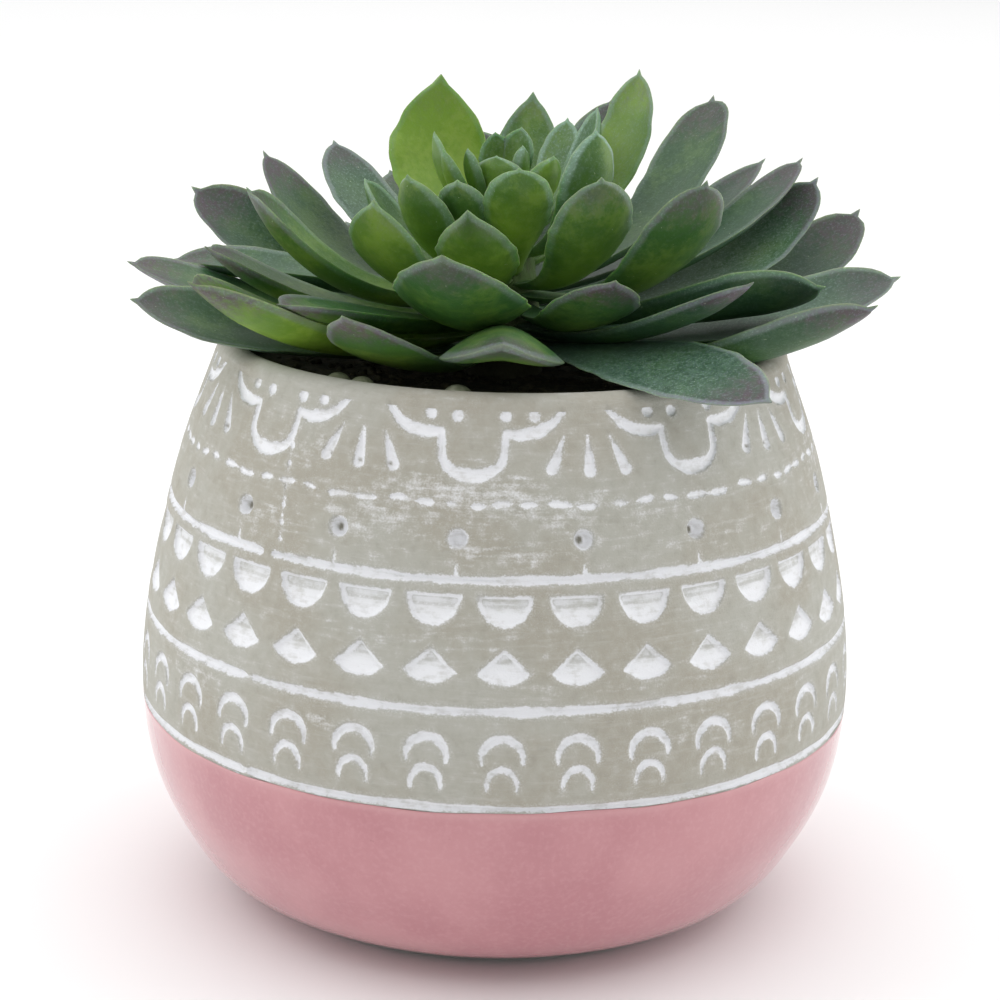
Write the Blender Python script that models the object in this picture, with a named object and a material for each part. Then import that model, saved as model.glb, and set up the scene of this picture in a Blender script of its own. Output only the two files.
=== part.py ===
"""A potted succulent: a rosette of thick pointed leaves in a round two-tone ceramic pot.

Blender 4.5 script, metres, +Z up. The origin is the centre of the pot's flat foot, and the
pot's front faces -Y. Lengths are named in millimetres and scaled where a mesh is made.

An azimuth is in degrees, counterclockwise as seen from above: 0 is +X, 90 is the back,
270 is the front.
"""

from collections import namedtuple
from math import cos, pi, radians, sin

import bmesh
import bpy
import numpy as np

MM = 0.001

# Driving dimensions, in millimetres.
BELLY_RADIUS = 60.0
LIP_TOP = 95.5
LIP_ROUND = 2.3
LIP_RADIUS = 44.9
WALL = 4.2
FLOOR = 6.5
FLOOR_RADIUS = 41.0
INNER_HEIGHTS = (87.5, 66.0, 44.0, 24.0, 12.0)
SHORE_CLEARANCE = 0.4
CLEARANCE = 0.3
SIDES = 48

# The pot's outside, as heights and radii from the foot to just under the lip.
OUTSIDE = (
    (0.0, 36.0),
    (6.0, 47.9),
    (14.0, 54.1),
    (24.0, 58.4),
    (36.0, BELLY_RADIUS),
    (50.0, 59.1),
    (64.0, 56.4),
    (78.0, 52.8),
    (92.0, 47.7),
)

# The glazed coat on the lower wall.
GLAZE_THICKNESS = 0.7
GLAZE_BOTTOM = 0.8
GLAZE_TOP = 34.5
GLAZE_HEIGHTS = (GLAZE_BOTTOM, 3.5, 8.0, 14.0, 23.0, GLAZE_TOP)

# Pressed lines that ring the pot: the height of each, their width and depth.
RING_LINES = (36.1, 50.5, 69.5)
RING_WIDTH = 1.6
RING_DEPTH = 0.7

# Heights of the bare wall's section between its lines, and above the highest one.
BETWEEN_LINES = (43.0, 60.0)
SHOULDER = (77.0, 85.0)

# Pressed stamps. Angles are in degrees from the front, positive to the right.
STAMP_DEPTH = 0.8
STAMP_REACH = 1.2
STAMP_COLUMNS = 33
STAMP_TURN = 1.4
HALF_MOON_HEIGHT = 65.2
WEDGE_HEIGHT = 57.0
ARCH_HEIGHT = 44.7
SMALL_ARCH_HEIGHT = 40.4
PIT_COLUMNS = 18
PIT_TURN = -6.3
PIT_HEIGHT = 75.3
MOTIFS = 9
MOTIF_TURN = -4.6
SCALLOP_HEIGHT = 90.0
SCALLOP_ARM_WIDTH = 1.3
TEARDROP_HEIGHT = 86.6
TEARDROP_SPREAD = 5.7
TEARDROP_LEAN = 20.0

# Soil and stem.
SOIL_TOP = 90.3
SOIL_ROUGHNESS = 0.5
SOIL_BOWL = ((36.0, 0.0), (27.0, 0.4), (17.0, 0.8))
SOIL_SIDES = 22
SOIL_SEED = 7
STEM_BOTTOM = 74.0
STEM_TOP = 112.5
STEM_OUTLINE = ((74.0, 6.2), (92.0, 7.0), (100.0, 6.2), (108.0, 5.0), (112.5, 4.2))
STEM_SIDES = 14

# Beads that lie on the soil inside the front of the lip: azimuth, distance out, radius.
BEADS = ((260.5, 39.6, 2.3), (237.5, 39.7, 2.1), (231.0, 39.8, 2.1), (247.0, 40.2, 1.5))
BEAD_FLATNESS = 0.85

# Leaf blades. A blade's stations run from its root, 0, to its tip, 1.
LEAF_STATIONS = (0.0, 0.1, 0.26, 0.44, 0.6, 0.76, 0.91, 1.0)
LEAF_COLUMNS = (-1.0, -0.5, 0.0, 0.5, 1.0)
SMALL_LEAF_STATIONS = (0.0, 0.22, 0.45, 0.68, 0.88, 1.0)
SMALL_LEAF_COLUMNS = (-1.0, 0.0, 1.0)
LEAF_THICKNESS = 2.4
ROOT_THICKNESS_SHARE = 0.62
UPPER_SHARE = 0.30
CUP_START = 0.25
TIP_TAPER = 0.18
EDGE_ROUNDING = 2.2
CUP_FORM = 1.7
CUP_NARROWING = 0.12
ROOT_WIDTH = 0.36
ROOT_GAP = 0.4

Leaf = namedtuple(
    "Leaf", "azimuth reach tip root width bow cup roll swing widest fullness", defaults=(0.67, 0.55)
)

# Low, flat leaves round the outside: azimuth of the tip, its distance out and height, height
# of the root on the stem, full width, sag of the midrib as a share of the length, rise of the
# edges, turn of the blade about its midrib, sideways bend, where the blade is widest, and how
# sharply it ends, from 0.4 for a blunt tip to 1 for a pointed one.
OUTER_LEAVES = (
    Leaf(2, 51.0, 99.5, 92.0, 9.5, 0.06, 0.35, -14, 4),
    Leaf(23, 58.5, 120.0, 99.8, 17.0, 0.15, 0.15, 21, 2, 0.65, 0.45),
    Leaf(24, 68.0, 114.0, 97.5, 17.5, 0.15, 0.20, 20, 9, 0.72, 0.42),
    Leaf(51, 56.0, 107.2, 97.0, 13.5, 0.04, 0.30, 3, -3),
    Leaf(58, 58.5, 106.0, 95.0, 16.0, 0.07, 0.30, 5, 3),
    Leaf(79, 59.5, 105.0, 93.0, 16.0, 0.06, 0.30, 0, -1),
    Leaf(97, 59.5, 106.0, 97.0, 16.0, 0.04, 0.30, -2, -1, 0.70),
    Leaf(120, 59.5, 106.0, 95.5, 15.0, 0.07, 0.25, 1, 4),
    Leaf(141, 60.5, 106.0, 93.0, 15.0, 0.07, 0.30, 1, 0),
    Leaf(153, 62.0, 115.0, 97.5, 17.5, 0.11, 0.35, -24, 11, 0.67, 0.45),
    Leaf(173, 53.0, 101.0, 92.0, 14.5, 0.04, 0.25, -9, 0),
    Leaf(173, 56.5, 105.5, 100.5, 12.0, -0.01, 0.35, -12, -2, 0.72),
    Leaf(187, 61.5, 107.5, 95.5, 13.5, 0.05, 0.20, -12, 7, 0.74, 0.45),
    Leaf(203, 63.0, 104.5, 93.5, 15.0, 0.05, 0.20, -34, 1, 0.72),
    Leaf(217, 59.5, 109.5, 97.0, 16.5, 0.11, 0.45, -6, 1, 0.74, 0.45),
    Leaf(306, 66.5, 97.0, 94.6, 16.3, -0.035, 0.05, 24, 3, 0.72, 0.42),
    Leaf(334, 64.0, 107.0, 93.5, 17.0, 0.09, 0.30, -19, 0, 0.74, 0.45),
    Leaf(351, 64.5, 108.5, 96.0, 18.0, 0.07, 0.25, 25, 10, 0.73, 0.50),
)

# Leaves of the middle rounds, which rise more.
MIDDLE_LEAVES = (
    Leaf(26, 57.0, 123.0, 101.5, 10.5, 0.09, 0.20, 8, 9, 0.74, 0.45),
    Leaf(43, 64.0, 120.5, 102.5, 10.5, 0.09, 0.30, -1, -3),
    Leaf(47, 53.5, 132.0, 104.0, 15.0, 0.11, 0.25, -3, 17, 0.74, 0.42),
    Leaf(62, 39.5, 131.5, 105.5, 12.0, 0.08, 0.30, 1, 0),
    Leaf(71, 52.0, 115.5, 98.5, 15.0, 0.05, 0.30, 1, 0),
    Leaf(90, 50.5, 117.0, 101.5, 14.0, 0.04, 0.30, 1, 1),
    Leaf(98, 42.5, 125.0, 104.0, 15.0, 0.07, 0.30, 3, 2),
    Leaf(115, 50.5, 116.5, 100.5, 14.0, 0.08, 0.25, 0, -1, 0.59),
    Leaf(132, 46.0, 123.0, 102.0, 13.5, 0.08, 0.15, -3, -10),
    Leaf(146, 51.5, 121.5, 99.5, 15.0, 0.14, 0.20, 7, -1, 0.72, 0.50),
    Leaf(200, 43.5, 121.0, 102.5, 15.5, 0.16, 0.35, -17, -5, 0.74, 0.42),
    Leaf(201, 50.5, 112.0, 99.4, 13.0, 0.10, 0.30, -7, 5, 0.74, 0.45),
    Leaf(225, 48.5, 106.0, 98.5, 13.0, 0.03, 0.30, -5, -4, 0.69, 0.45),
    Leaf(242, 50.5, 106.5, 94.0, 17.5, 0.09, 0.00, 4, 1, 0.60, 0.60),
    Leaf(259.5, 49.5, 116.5, 101.7, 21.5, 0.125, 0.25, -2, 3, 0.55, 0.70),
    Leaf(270, 50.0, 103.8, 95.5, 17.6, -0.05, -0.50, -1, 0, 0.67, 0.60),
    Leaf(294, 41.0, 111.5, 101.0, 14.5, 0.11, 0.10, -13, -7, 0.67, 0.65),
    Leaf(316, 52.0, 111.5, 98.0, 13.5, 0.08, 0.20, 4, 5, 0.72, 0.50),
    Leaf(337, 54.5, 108.5, 99.2, 17.0, 0.04, 0.25, -39, -1, 0.70),
)

# Short upright leaves round the heart.
INNER_LEAVES = (
    Leaf(27, 16.5, 132.5, 113.0, 8.5, 0.12, 0.30, -6, 2),
    Leaf(30, 25.0, 138.5, 108.0, 12.5, 0.16, 0.25, 17, 4, 0.67, 0.50),
    Leaf(55, 17.5, 130.0, 111.0, 8.5, 0.12, 0.25, 4, 4),
    Leaf(79, 22.0, 133.5, 108.5, 10.5, 0.11, 0.25, 8, -1, 0.67, 0.85),
    Leaf(117.5, 25.0, 136.0, 105.5, 18.5, 0.19, 0.10, -13, -7, 0.63, 0.75),
    Leaf(173, 23.5, 120.5, 103.5, 11.0, 0.11, 0.30, -3, 4),
    Leaf(222, 21.0, 123.5, 107.0, 13.0, 0.16, 0.35, 0, 3, 0.67, 0.60),
    Leaf(227, 30.0, 120.5, 104.5, 15.0, 0.21, 0.05, 9, 9, 0.70, 0.70),
    Leaf(243, 17.0, 123.0, 111.0, 8.5, 0.11, 0.30, 19, 8, 0.67, 0.70),
    Leaf(258, 28.0, 120.0, 105.5, 13.5, 0.17, 0.25, 5, -1, 0.61, 0.80),
    Leaf(276, 18.5, 125.5, 107.5, 11.5, 0.07, 0.25, -5, -5, 0.67, 0.50),
    Leaf(302, 27.5, 125.0, 105.0, 14.5, 0.18, 0.25, -16, -12, 0.66, 0.50),
    Leaf(320, 18.0, 131.0, 110.0, 11.0, 0.19, 0.30, -23, -6, 0.63),
    Leaf(322, 39.0, 125.0, 103.0, 16.5, 0.18, 0.10, -18, -5, 0.72, 0.45),
)

# The heart: a short core and the small leaves that grow out of it, joined as one bud.
HEART_OUTLINE = ((112.8, 3.6), (115.5, 3.0), (119.0, 1.9), (121.5, 0.8))
HEART_SIDES = 8
HEART_ROOT_RADIUS = 0.8
HEART_ROOT_STEP = 0.07
HEART_CAP = 0.4
HEART_LEAF_THICKNESS = 1.7
HEART_LEAVES = (
    Leaf(50, 3.5, 129.5, 117.0, 7.5, 0.08, 0.30, 0, 0),
    Leaf(120, 4.0, 128.5, 116.0, 7.5, 0.10, 0.30, 0, 0),
    Leaf(190, 12.0, 129.0, 114.0, 9.0, 0.16, 0.30, 0, 0),
    Leaf(205, 7.0, 126.5, 115.5, 5.5, 0.12, 0.30, 0, 0),
    Leaf(215, 12.5, 126.8, 114.5, 5.0, 0.14, 0.30, 0, 0),
    Leaf(245, 4.0, 125.5, 116.0, 9.5, 0.12, 0.30, 0, 0),
    Leaf(322, 9.5, 126.0, 114.0, 10.0, 0.14, 0.30, 0, 0),
    Leaf(325, 3.0, 127.0, 117.5, 4.5, 0.08, 0.30, 0, 0),
)

# Base colour, roughness and metallic value of each finish.
FINISHES = {
    "bare_clay": ((0.42, 0.40, 0.35), 0.85, 0.0),
    "pink_glaze": ((0.52, 0.26, 0.27), 0.22, 0.0),
    "dark_soil": ((0.030, 0.024, 0.018), 0.95, 0.0),
    "pale_bead": ((0.48, 0.43, 0.34), 0.40, 0.0),
    "stem_green": ((0.16, 0.20, 0.08), 0.60, 0.0),
    "leaf_green": ((0.085, 0.165, 0.065), 0.50, 0.0),
    "heart_green": ((0.22, 0.33, 0.10), 0.50, 0.0),
}


def clear_scene():
    for obj in list(bpy.data.objects):
        bpy.data.objects.remove(obj, do_unlink=True)


def finish(name):
    """The Principled material of a finish, made once."""
    material = bpy.data.materials.get(name)
    if material:
        return material
    colour, roughness, metallic = FINISHES[name]
    material = bpy.data.materials.new(name)
    material.use_nodes = True
    shader = material.node_tree.nodes["Principled BSDF"]
    shader.inputs["Base Color"].default_value = (*colour, 1.0)
    shader.inputs["Roughness"].default_value = roughness
    shader.inputs["Metallic"].default_value = metallic
    material.diffuse_color = (*colour, 1.0)
    return material


def mesh_object(name, bm, finish_name, sharp_angle=40.0):
    """Turns a bmesh into a named object with outward faces and its finish."""
    bmesh.ops.recalc_face_normals(bm, faces=bm.faces)
    mesh = bpy.data.meshes.new(name)
    bm.to_mesh(mesh)
    bm.free()
    mesh.shade_smooth()
    mesh.set_sharp_from_angle(angle=radians(sharp_angle))
    obj = bpy.data.objects.new(name, mesh)
    obj.data.materials.append(finish(finish_name))
    bpy.context.scene.collection.objects.link(obj)
    return obj


def smooth_value(points, x):
    """Value at x on a smooth curve through (x, value) points, and the curve's slope there."""
    xs = [p[0] for p in points]
    ys = [p[1] for p in points]
    last = len(points) - 1
    i = min(max(np.searchsorted(xs, x) - 1, 0), last - 1)

    def slope(k):
        low, high = max(k - 1, 0), min(k + 1, last)
        return (ys[high] - ys[low]) / (xs[high] - xs[low])

    span = xs[i + 1] - xs[i]
    t = (x - xs[i]) / span
    start, end = slope(i) * span, slope(i + 1) * span
    rise = ys[i + 1] - ys[i]
    bend_2 = 3 * rise - 2 * start - end
    bend_3 = start + end - 2 * rise
    value = ys[i] + start * t + bend_2 * t**2 + bend_3 * t**3
    return value, (start + 2 * bend_2 * t + 3 * bend_3 * t**2) / span


def wall_point(height, inset=0.0):
    """(radius, height) of the pot's outside, moved inwards square to the wall."""
    radius, slope = smooth_value(OUTSIDE, height)
    lean = np.arctan(slope)
    return radius - inset * cos(lean), height + inset * sin(lean)


def add_turned(bm, outline, sides):
    """Turns a closed outline of (radius, height) points about the vertical axis.

    An outline that starts and ends on the axis is closed there by fans.
    """
    rings = []
    for radius, height in outline:
        if radius < 1e-6:
            rings.append([bm.verts.new((0.0, 0.0, height * MM))])
            continue
        turns = [2 * pi * k / sides - pi / 2 for k in range(sides)]
        rings.append(
            [bm.verts.new((radius * cos(a) * MM, radius * sin(a) * MM, height * MM)) for a in turns]
        )
    pairs = list(zip(rings, rings[1:]))
    if len(rings[0]) > 1:
        pairs.append((rings[-1], rings[0]))
    for low, high in pairs:
        for k in range(sides):
            after = (k + 1) % sides
            corners = [low[k % len(low)], low[after % len(low)]]
            corners += [high[after % len(high)], high[k % len(high)]]
            unique = [v for n, v in enumerate(corners) if v not in corners[:n]]
            bm.faces.new(unique)
    return rings


def lip_arc():
    """The rounded lip, from the outside over the top to the inside."""
    centre = LIP_TOP - LIP_ROUND
    turns = (0, 35, 70, 105, 140, 180)
    return [
        (LIP_RADIUS + LIP_ROUND * cos(radians(a)), centre + LIP_ROUND * sin(radians(a)))
        for a in turns
    ]


def groove(height):
    """A V-shaped pressed line round the pot."""
    half = RING_WIDTH / 2
    return [wall_point(height - half), wall_point(height, RING_DEPTH), wall_point(height + half)]


def pot_outline():
    """The pot's section: foot, seat of the glaze, bare wall with its lines, lip, inside."""
    seat = [wall_point(h, GLAZE_THICKNESS + CLEARANCE) for h in GLAZE_HEIGHTS]
    ledge = GLAZE_TOP + CLEARANCE
    outline = [(0.0, 0.0), (OUTSIDE[0][1], 0.0)] + seat
    outline += [(seat[-1][0], ledge), wall_point(ledge)]
    outline += groove(RING_LINES[0])
    outline += [wall_point(BETWEEN_LINES[0])]
    outline += groove(RING_LINES[1])
    outline += [wall_point(BETWEEN_LINES[1])]
    outline += groove(RING_LINES[2])
    outline += [wall_point(h) for h in SHOULDER]
    outline += lip_arc()
    outline += [wall_point(h, WALL) for h in INNER_HEIGHTS]
    outline += [(FLOOR_RADIUS, FLOOR), (0.0, FLOOR)]
    return outline


def on_wall(x, y, turn, height, out):
    """A stamp's own point x to the right and y up the wall, as a place on the pot."""
    level, slope = smooth_value(OUTSIDE, height)
    lean = np.arctan(slope)
    z = height + y * cos(lean)
    radius, slope = smooth_value(OUTSIDE, z)
    lean = np.arctan(slope)
    angle = radians(turn) + x / level
    radius += out * cos(lean)
    z -= out * sin(lean)
    return radius * sin(angle) * MM, -radius * cos(angle) * MM, z * MM


def add_stamp(bm, rungs, turn, height):
    """A stamp's cutter, from (left, right) pairs of points along its shape."""
    rows = []
    for left, right in rungs:
        corners = [(left, -STAMP_DEPTH), (right, -STAMP_DEPTH), (right, STAMP_REACH), (left, STAMP_REACH)]
        rows.append([bm.verts.new(on_wall(*p, turn, height, out)) for p, out in corners])
    for low, high in zip(rows, rows[1:]):
        for k in range(4):
            after = (k + 1) % 4
            bm.faces.new([low[k], low[after], high[after], high[k]])
    bm.faces.new(rows[0])
    bm.faces.new(rows[-1])


def mirrored(rungs):
    """(left, right) pairs from (half width, height) points."""
    return [((-half, y), (half, y)) for half, y in rungs]


def stroke(path, width):
    """(left, right) pairs along a bent stroke through the points of a path."""
    rungs = []
    for k, (x, y) in enumerate(path):
        before, after = path[max(k - 1, 0)], path[min(k + 1, len(path) - 1)]
        along = np.array(after) - np.array(before)
        side = np.array([-along[1], along[0]]) / np.linalg.norm(along) * width / 2
        rungs.append(((x + side[0], y + side[1]), (x - side[0], y - side[1])))
    return rungs


def arc_path(radius_x, radius_y, start, end, steps):
    """Points on an elliptic arc, with angles in degrees from the right."""
    turns = np.radians(np.linspace(start, end, steps))
    return [(radius_x * cos(a), radius_y * sin(a)) for a in turns]


def leaned(rungs, turn):
    """A stamp's pairs turned about the stamp's own middle, clockwise in degrees."""
    c, s = cos(radians(turn)), sin(radians(turn))
    return [tuple((x * c + y * s, y * c - x * s) for x, y in pair) for pair in rungs]


HALF_MOON = mirrored(((4.1, 2.2), (3.6, -0.4), (1.7, -2.1)))
WEDGE = mirrored(((0.5, 2.4), (3.7, -1.0), (1.9, -2.4)))
ARCH = stroke(arc_path(2.7, 2.7, -15, 195, 4), 1.2)
SMALL_ARCH = stroke(arc_path(1.9, 1.9, 0, 180, 3), 1.1)
PIT = mirrored(((0.5, 1.0), (1.1, 0.0), (0.5, -1.0)))
TEARDROP = mirrored(((0.25, 2.2), (0.9, -1.0), (0.5, -2.1)))
SCALLOP = stroke(arc_path(5.3, 6.4, -180, 0, 5), 1.4)
SCALLOP_ARM = ((6.9, 2.6), (10.4, 2.4), (13.4, 4.6))


def add_columns(bm, rungs, columns, first_turn, height):
    """The same stamp in columns all round the pot."""
    for k in range(columns):
        add_stamp(bm, rungs, first_turn + 360 * k / columns, height)


def stamp_cutter():
    """Every pressed stamp of the pot, as one mesh of separate cutters."""
    bm = bmesh.new()
    rows = ((HALF_MOON, HALF_MOON_HEIGHT), (WEDGE, WEDGE_HEIGHT), (ARCH, ARCH_HEIGHT))
    for rungs, height in rows + ((SMALL_ARCH, SMALL_ARCH_HEIGHT),):
        add_columns(bm, rungs, STAMP_COLUMNS, STAMP_TURN, height)
    add_columns(bm, PIT, PIT_COLUMNS, PIT_TURN, PIT_HEIGHT)
    right_arm = stroke(SCALLOP_ARM, SCALLOP_ARM_WIDTH)
    left_arm = stroke([(-x, y) for x, y in SCALLOP_ARM], SCALLOP_ARM_WIDTH)
    for rungs in (SCALLOP, left_arm, right_arm):
        add_columns(bm, rungs, MOTIFS, MOTIF_TURN, SCALLOP_HEIGHT)
    half_pitch = 180 / MOTIFS
    for side in (-1, 0, 1):
        turn = MOTIF_TURN + half_pitch + side * TEARDROP_SPREAD
        add_columns(bm, leaned(TEARDROP, -TEARDROP_LEAN * side), MOTIFS, turn, TEARDROP_HEIGHT)
    cutter = mesh_object("stamp_cutter", bm, "bare_clay")
    cutter.hide_render = True
    cutter.display_type = "WIRE"
    return cutter


def build_pot():
    bm = bmesh.new()
    add_turned(bm, pot_outline(), SIDES)
    pot = mesh_object("pot", bm, "bare_clay")
    stamps = pot.modifiers.new("stamps", "BOOLEAN")
    stamps.operation = "DIFFERENCE"
    stamps.object = stamp_cutter()
    return pot


def build_glaze():
    """The thin fired coat that lies round the pot's lower wall."""
    outside = [wall_point(h) for h in GLAZE_HEIGHTS]
    inside = [wall_point(h, GLAZE_THICKNESS) for h in reversed(GLAZE_HEIGHTS)]
    inside[0] = (inside[0][0], GLAZE_TOP)
    bm = bmesh.new()
    add_turned(bm, outside + inside, SIDES)
    return mesh_object("pink_glaze", bm, "pink_glaze")


def inside_radius(height):
    """Radius of the pot's inside just under the lip."""
    low, high = wall_point(INNER_HEIGHTS[0], WALL), lip_arc()[-1]
    return float(np.interp(height, (low[1], high[1]), (low[0], high[0])))


def soil_outline():
    """The soil's section, clear of the pot's inside and of the stem's hole."""
    hole = STEM_OUTLINE[1][1] + CLEARANCE
    hole_bottom = STEM_BOTTOM - CLEARANCE
    bottom = FLOOR + CLEARANCE
    wall = [wall_point(h, WALL + CLEARANCE) for h in reversed(INNER_HEIGHTS)]
    shore = (inside_radius(SOIL_TOP) - SHORE_CLEARANCE, SOIL_TOP)
    top = [(r, SOIL_TOP - drop) for r, drop in SOIL_BOWL] + [(hole, SOIL_TOP - SOIL_BOWL[-1][1])]
    outline = [(0.0, bottom), (FLOOR_RADIUS - CLEARANCE, bottom)] + wall + [shore]
    return outline + top + [(hole, hole_bottom), (0.0, hole_bottom)]


def build_soil():
    """Soil that fills the pot, with a slightly uneven top and a plain hole for the stem."""
    bm = bmesh.new()
    rings = add_turned(bm, soil_outline(), SOIL_SIDES)
    rng = np.random.default_rng(SOIL_SEED)
    for ring in rings[-6:-3]:
        for vert in ring:
            vert.co.z += rng.uniform(-SOIL_ROUGHNESS, SOIL_ROUGHNESS) * MM
    return mesh_object("soil", bm, "dark_soil")


def build_stem():
    outline = [(0.0, STEM_BOTTOM)] + [(r, h) for h, r in STEM_OUTLINE] + [(0.0, STEM_TOP)]
    bm = bmesh.new()
    add_turned(bm, outline, STEM_SIDES)
    return mesh_object("stem", bm, "stem_green")


def build_bead(number, azimuth, distance, radius):
    """A small bead that lies on the soil just inside the lip."""
    bm = bmesh.new()
    bmesh.ops.create_icosphere(bm, subdivisions=1, radius=radius * MM)
    height = SOIL_TOP + SOIL_ROUGHNESS + radius * BEAD_FLATNESS
    place = np.array([distance * cos(radians(azimuth)), distance * sin(radians(azimuth)), height])
    for vert in bm.verts:
        vert.co.z *= BEAD_FLATNESS
        vert.co.x += place[0] * MM
        vert.co.y += place[1] * MM
        vert.co.z += place[2] * MM
    return mesh_object(f"bead_{number}", bm, "pale_bead")


def stem_radius(height):
    heights, radii = zip(*STEM_OUTLINE)
    return float(np.interp(height, heights, radii))


def midrib(leaf, root_radius, s):
    """Points of the leaf's midrib at stations s, as an arc of a parabola that sags and swings."""
    root = np.array([root_radius, leaf.root])
    tip = np.array([leaf.reach, leaf.tip])
    chord = tip - root
    below = np.array([chord[1], -chord[0]])
    middle = root + 0.5 * chord + 2 * leaf.bow * below
    s = np.asarray(s, float)[:, None]
    path = (1 - s) ** 2 * root + 2 * s * (1 - s) * middle + s**2 * tip
    turn = np.radians(leaf.azimuth - leaf.swing * (1 - s[:, 0]))
    return np.stack([path[:, 0] * np.cos(turn), path[:, 0] * np.sin(turn), path[:, 1]], axis=-1)


def blade_frames(leaf, root_radius, s):
    """Midrib points with the blade's side and upward directions at each."""
    step = 1e-3
    centre = midrib(leaf, root_radius, s)
    along = midrib(leaf, root_radius, s + step) - midrib(leaf, root_radius, s - step)
    along /= np.linalg.norm(along, axis=1)[:, None]
    turn = np.radians(leaf.azimuth - leaf.swing * (1 - s))
    side = np.stack([-np.sin(turn), np.cos(turn), 0 * turn], axis=-1)
    side -= np.sum(side * along, axis=1)[:, None] * along
    side /= np.linalg.norm(side, axis=1)[:, None]
    up = np.cross(along, side)
    roll = np.radians(leaf.roll) * s[:, None]
    return centre, side * np.cos(roll) + up * np.sin(roll), up * np.cos(roll) - side * np.sin(roll)


def half_width(leaf, s):
    """The blade's outline: narrow at the root, widest past the middle, then round to a point."""
    grown = np.clip(s / leaf.widest, 0, 1)
    grown = ROOT_WIDTH + (1 - ROOT_WIDTH) * grown**2 * (3 - 2 * grown)
    closing = np.clip((s - leaf.widest) / (1 - leaf.widest), 0, 1)
    return leaf.width / 2 * np.where(s < leaf.widest, grown, (1 - closing**2) ** leaf.fullness)


def blade_surfaces(leaf, root_radius, thickness, stations, columns):
    """The blade's upper and lower points, by station and column."""
    s = np.array(stations)
    y = np.array(columns)[None, :]
    centre, side, up = blade_frames(leaf, root_radius, s)
    half = half_width(leaf, s)[:, None]
    cup = leaf.cup * np.clip(s / CUP_START, 0, 1)[:, None]
    swell = ROOT_THICKNESS_SHARE + (1 - ROOT_THICKNESS_SHARE) * np.sin(pi * s**0.8)
    body = thickness * swell * np.sqrt(np.clip((1 - s) / TIP_TAPER, 0, 1))
    lens = body[:, None] * (1 - np.abs(y) ** EDGE_ROUNDING)
    across = half * y * (1 - CUP_NARROWING * cup * y**2)
    rise = cup * half * np.abs(y) ** CUP_FORM

    def surface(lift):
        return centre[:, None] + across[..., None] * side[:, None] + (rise + lift)[..., None] * up[:, None]

    return surface(UPPER_SHARE * lens), surface((UPPER_SHARE - 1) * lens)


def add_blade(bm, leaf, root_radius, thickness, stations, columns):
    """A closed blade: upper and lower faces that meet at the edges and at the tip."""
    upper, lower = blade_surfaces(leaf, root_radius, thickness, stations, columns)
    rows, columns = upper.shape[:2]
    rings = []
    for i in range(rows - 1):
        top = [bm.verts.new(upper[i, j] * MM) for j in range(columns)]
        under = [bm.verts.new(lower[i, j] * MM) for j in range(columns - 2, 0, -1)]
        rings.append(top + under)
    tip = bm.verts.new((upper[-1, columns // 2] + lower[-1, columns // 2]) / 2 * MM)
    count = len(rings[0])
    for low, high in zip(rings, rings[1:]):
        for k in range(count):
            after = (k + 1) % count
            bm.faces.new([low[k], low[after], high[after], high[k]])
    for k in range(count):
        bm.faces.new([rings[-1][k], rings[-1][(k + 1) % count], tip])
    bm.faces.new(rings[0])


def build_leaf(name, leaf):
    bm = bmesh.new()
    root_radius = stem_radius(leaf.root) + ROOT_GAP
    add_blade(bm, leaf, root_radius, LEAF_THICKNESS, LEAF_STATIONS, LEAF_COLUMNS)
    return mesh_object(name, bm, "leaf_green", sharp_angle=75.0)


def build_heart():
    """The bud: its core and its small leaves, fused by one union."""
    bm = bmesh.new()
    outline = [(0.0, HEART_OUTLINE[0][0])] + [(r, h) for h, r in HEART_OUTLINE]
    add_turned(bm, outline + [(0.0, HEART_OUTLINE[-1][0] + HEART_CAP)], HEART_SIDES)
    heart = mesh_object("heart", bm, "heart_green", sharp_angle=75.0)
    group = bpy.data.collections.new("heart_leaves")
    for number, leaf in enumerate(HEART_LEAVES):
        bm = bmesh.new()
        root_radius = HEART_ROOT_RADIUS + HEART_ROOT_STEP * number
        add_blade(bm, leaf, root_radius, HEART_LEAF_THICKNESS, SMALL_LEAF_STATIONS, SMALL_LEAF_COLUMNS)
        blade = mesh_object(f"heart_leaf_{number}", bm, "heart_green")
        bpy.context.scene.collection.objects.unlink(blade)
        group.objects.link(blade)
    bpy.context.scene.collection.children.link(group)
    union = heart.modifiers.new("union", "BOOLEAN")
    union.operation = "UNION"
    union.operand_type = "COLLECTION"
    union.collection = group
    apply_modifiers(heart)
    for blade in list(group.objects):
        bpy.data.objects.remove(blade, do_unlink=True)
    bpy.data.collections.remove(group)
    return heart


def apply_modifiers(obj):
    """Replaces the object's mesh by its evaluated one."""
    graph = bpy.context.evaluated_depsgraph_get()
    mesh = bpy.data.meshes.new_from_object(obj.evaluated_get(graph))
    obj.modifiers.clear()
    obj.data = mesh


def build_leaves():
    rounds = (("outer", OUTER_LEAVES), ("middle", MIDDLE_LEAVES), ("inner", INNER_LEAVES))
    for place, leaves in rounds:
        for number, leaf in enumerate(leaves, start=1):
            build_leaf(f"leaf_{place}_{number:02d}", leaf)


def main():
    clear_scene()
    build_pot()
    build_glaze()
    build_soil()
    build_stem()
    for number, bead in enumerate(BEADS, start=1):
        build_bead(number, *bead)
    build_leaves()
    build_heart()


main()
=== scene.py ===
"""The looks of a potted succulent: a leaf rosette in a round clay pot with a pink glazed foot.

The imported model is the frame. Every piece here stands for one of its nodes, at the same place
and size, and gives it a finer mesh and a real finish. Lengths are named in millimetres.

Turns round the pot are in degrees from its front, positive to the right. Azimuths of leaves
are counterclockwise as seen from above: 0 is +X, 90 is the back, 270 is the front.
"""

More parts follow.
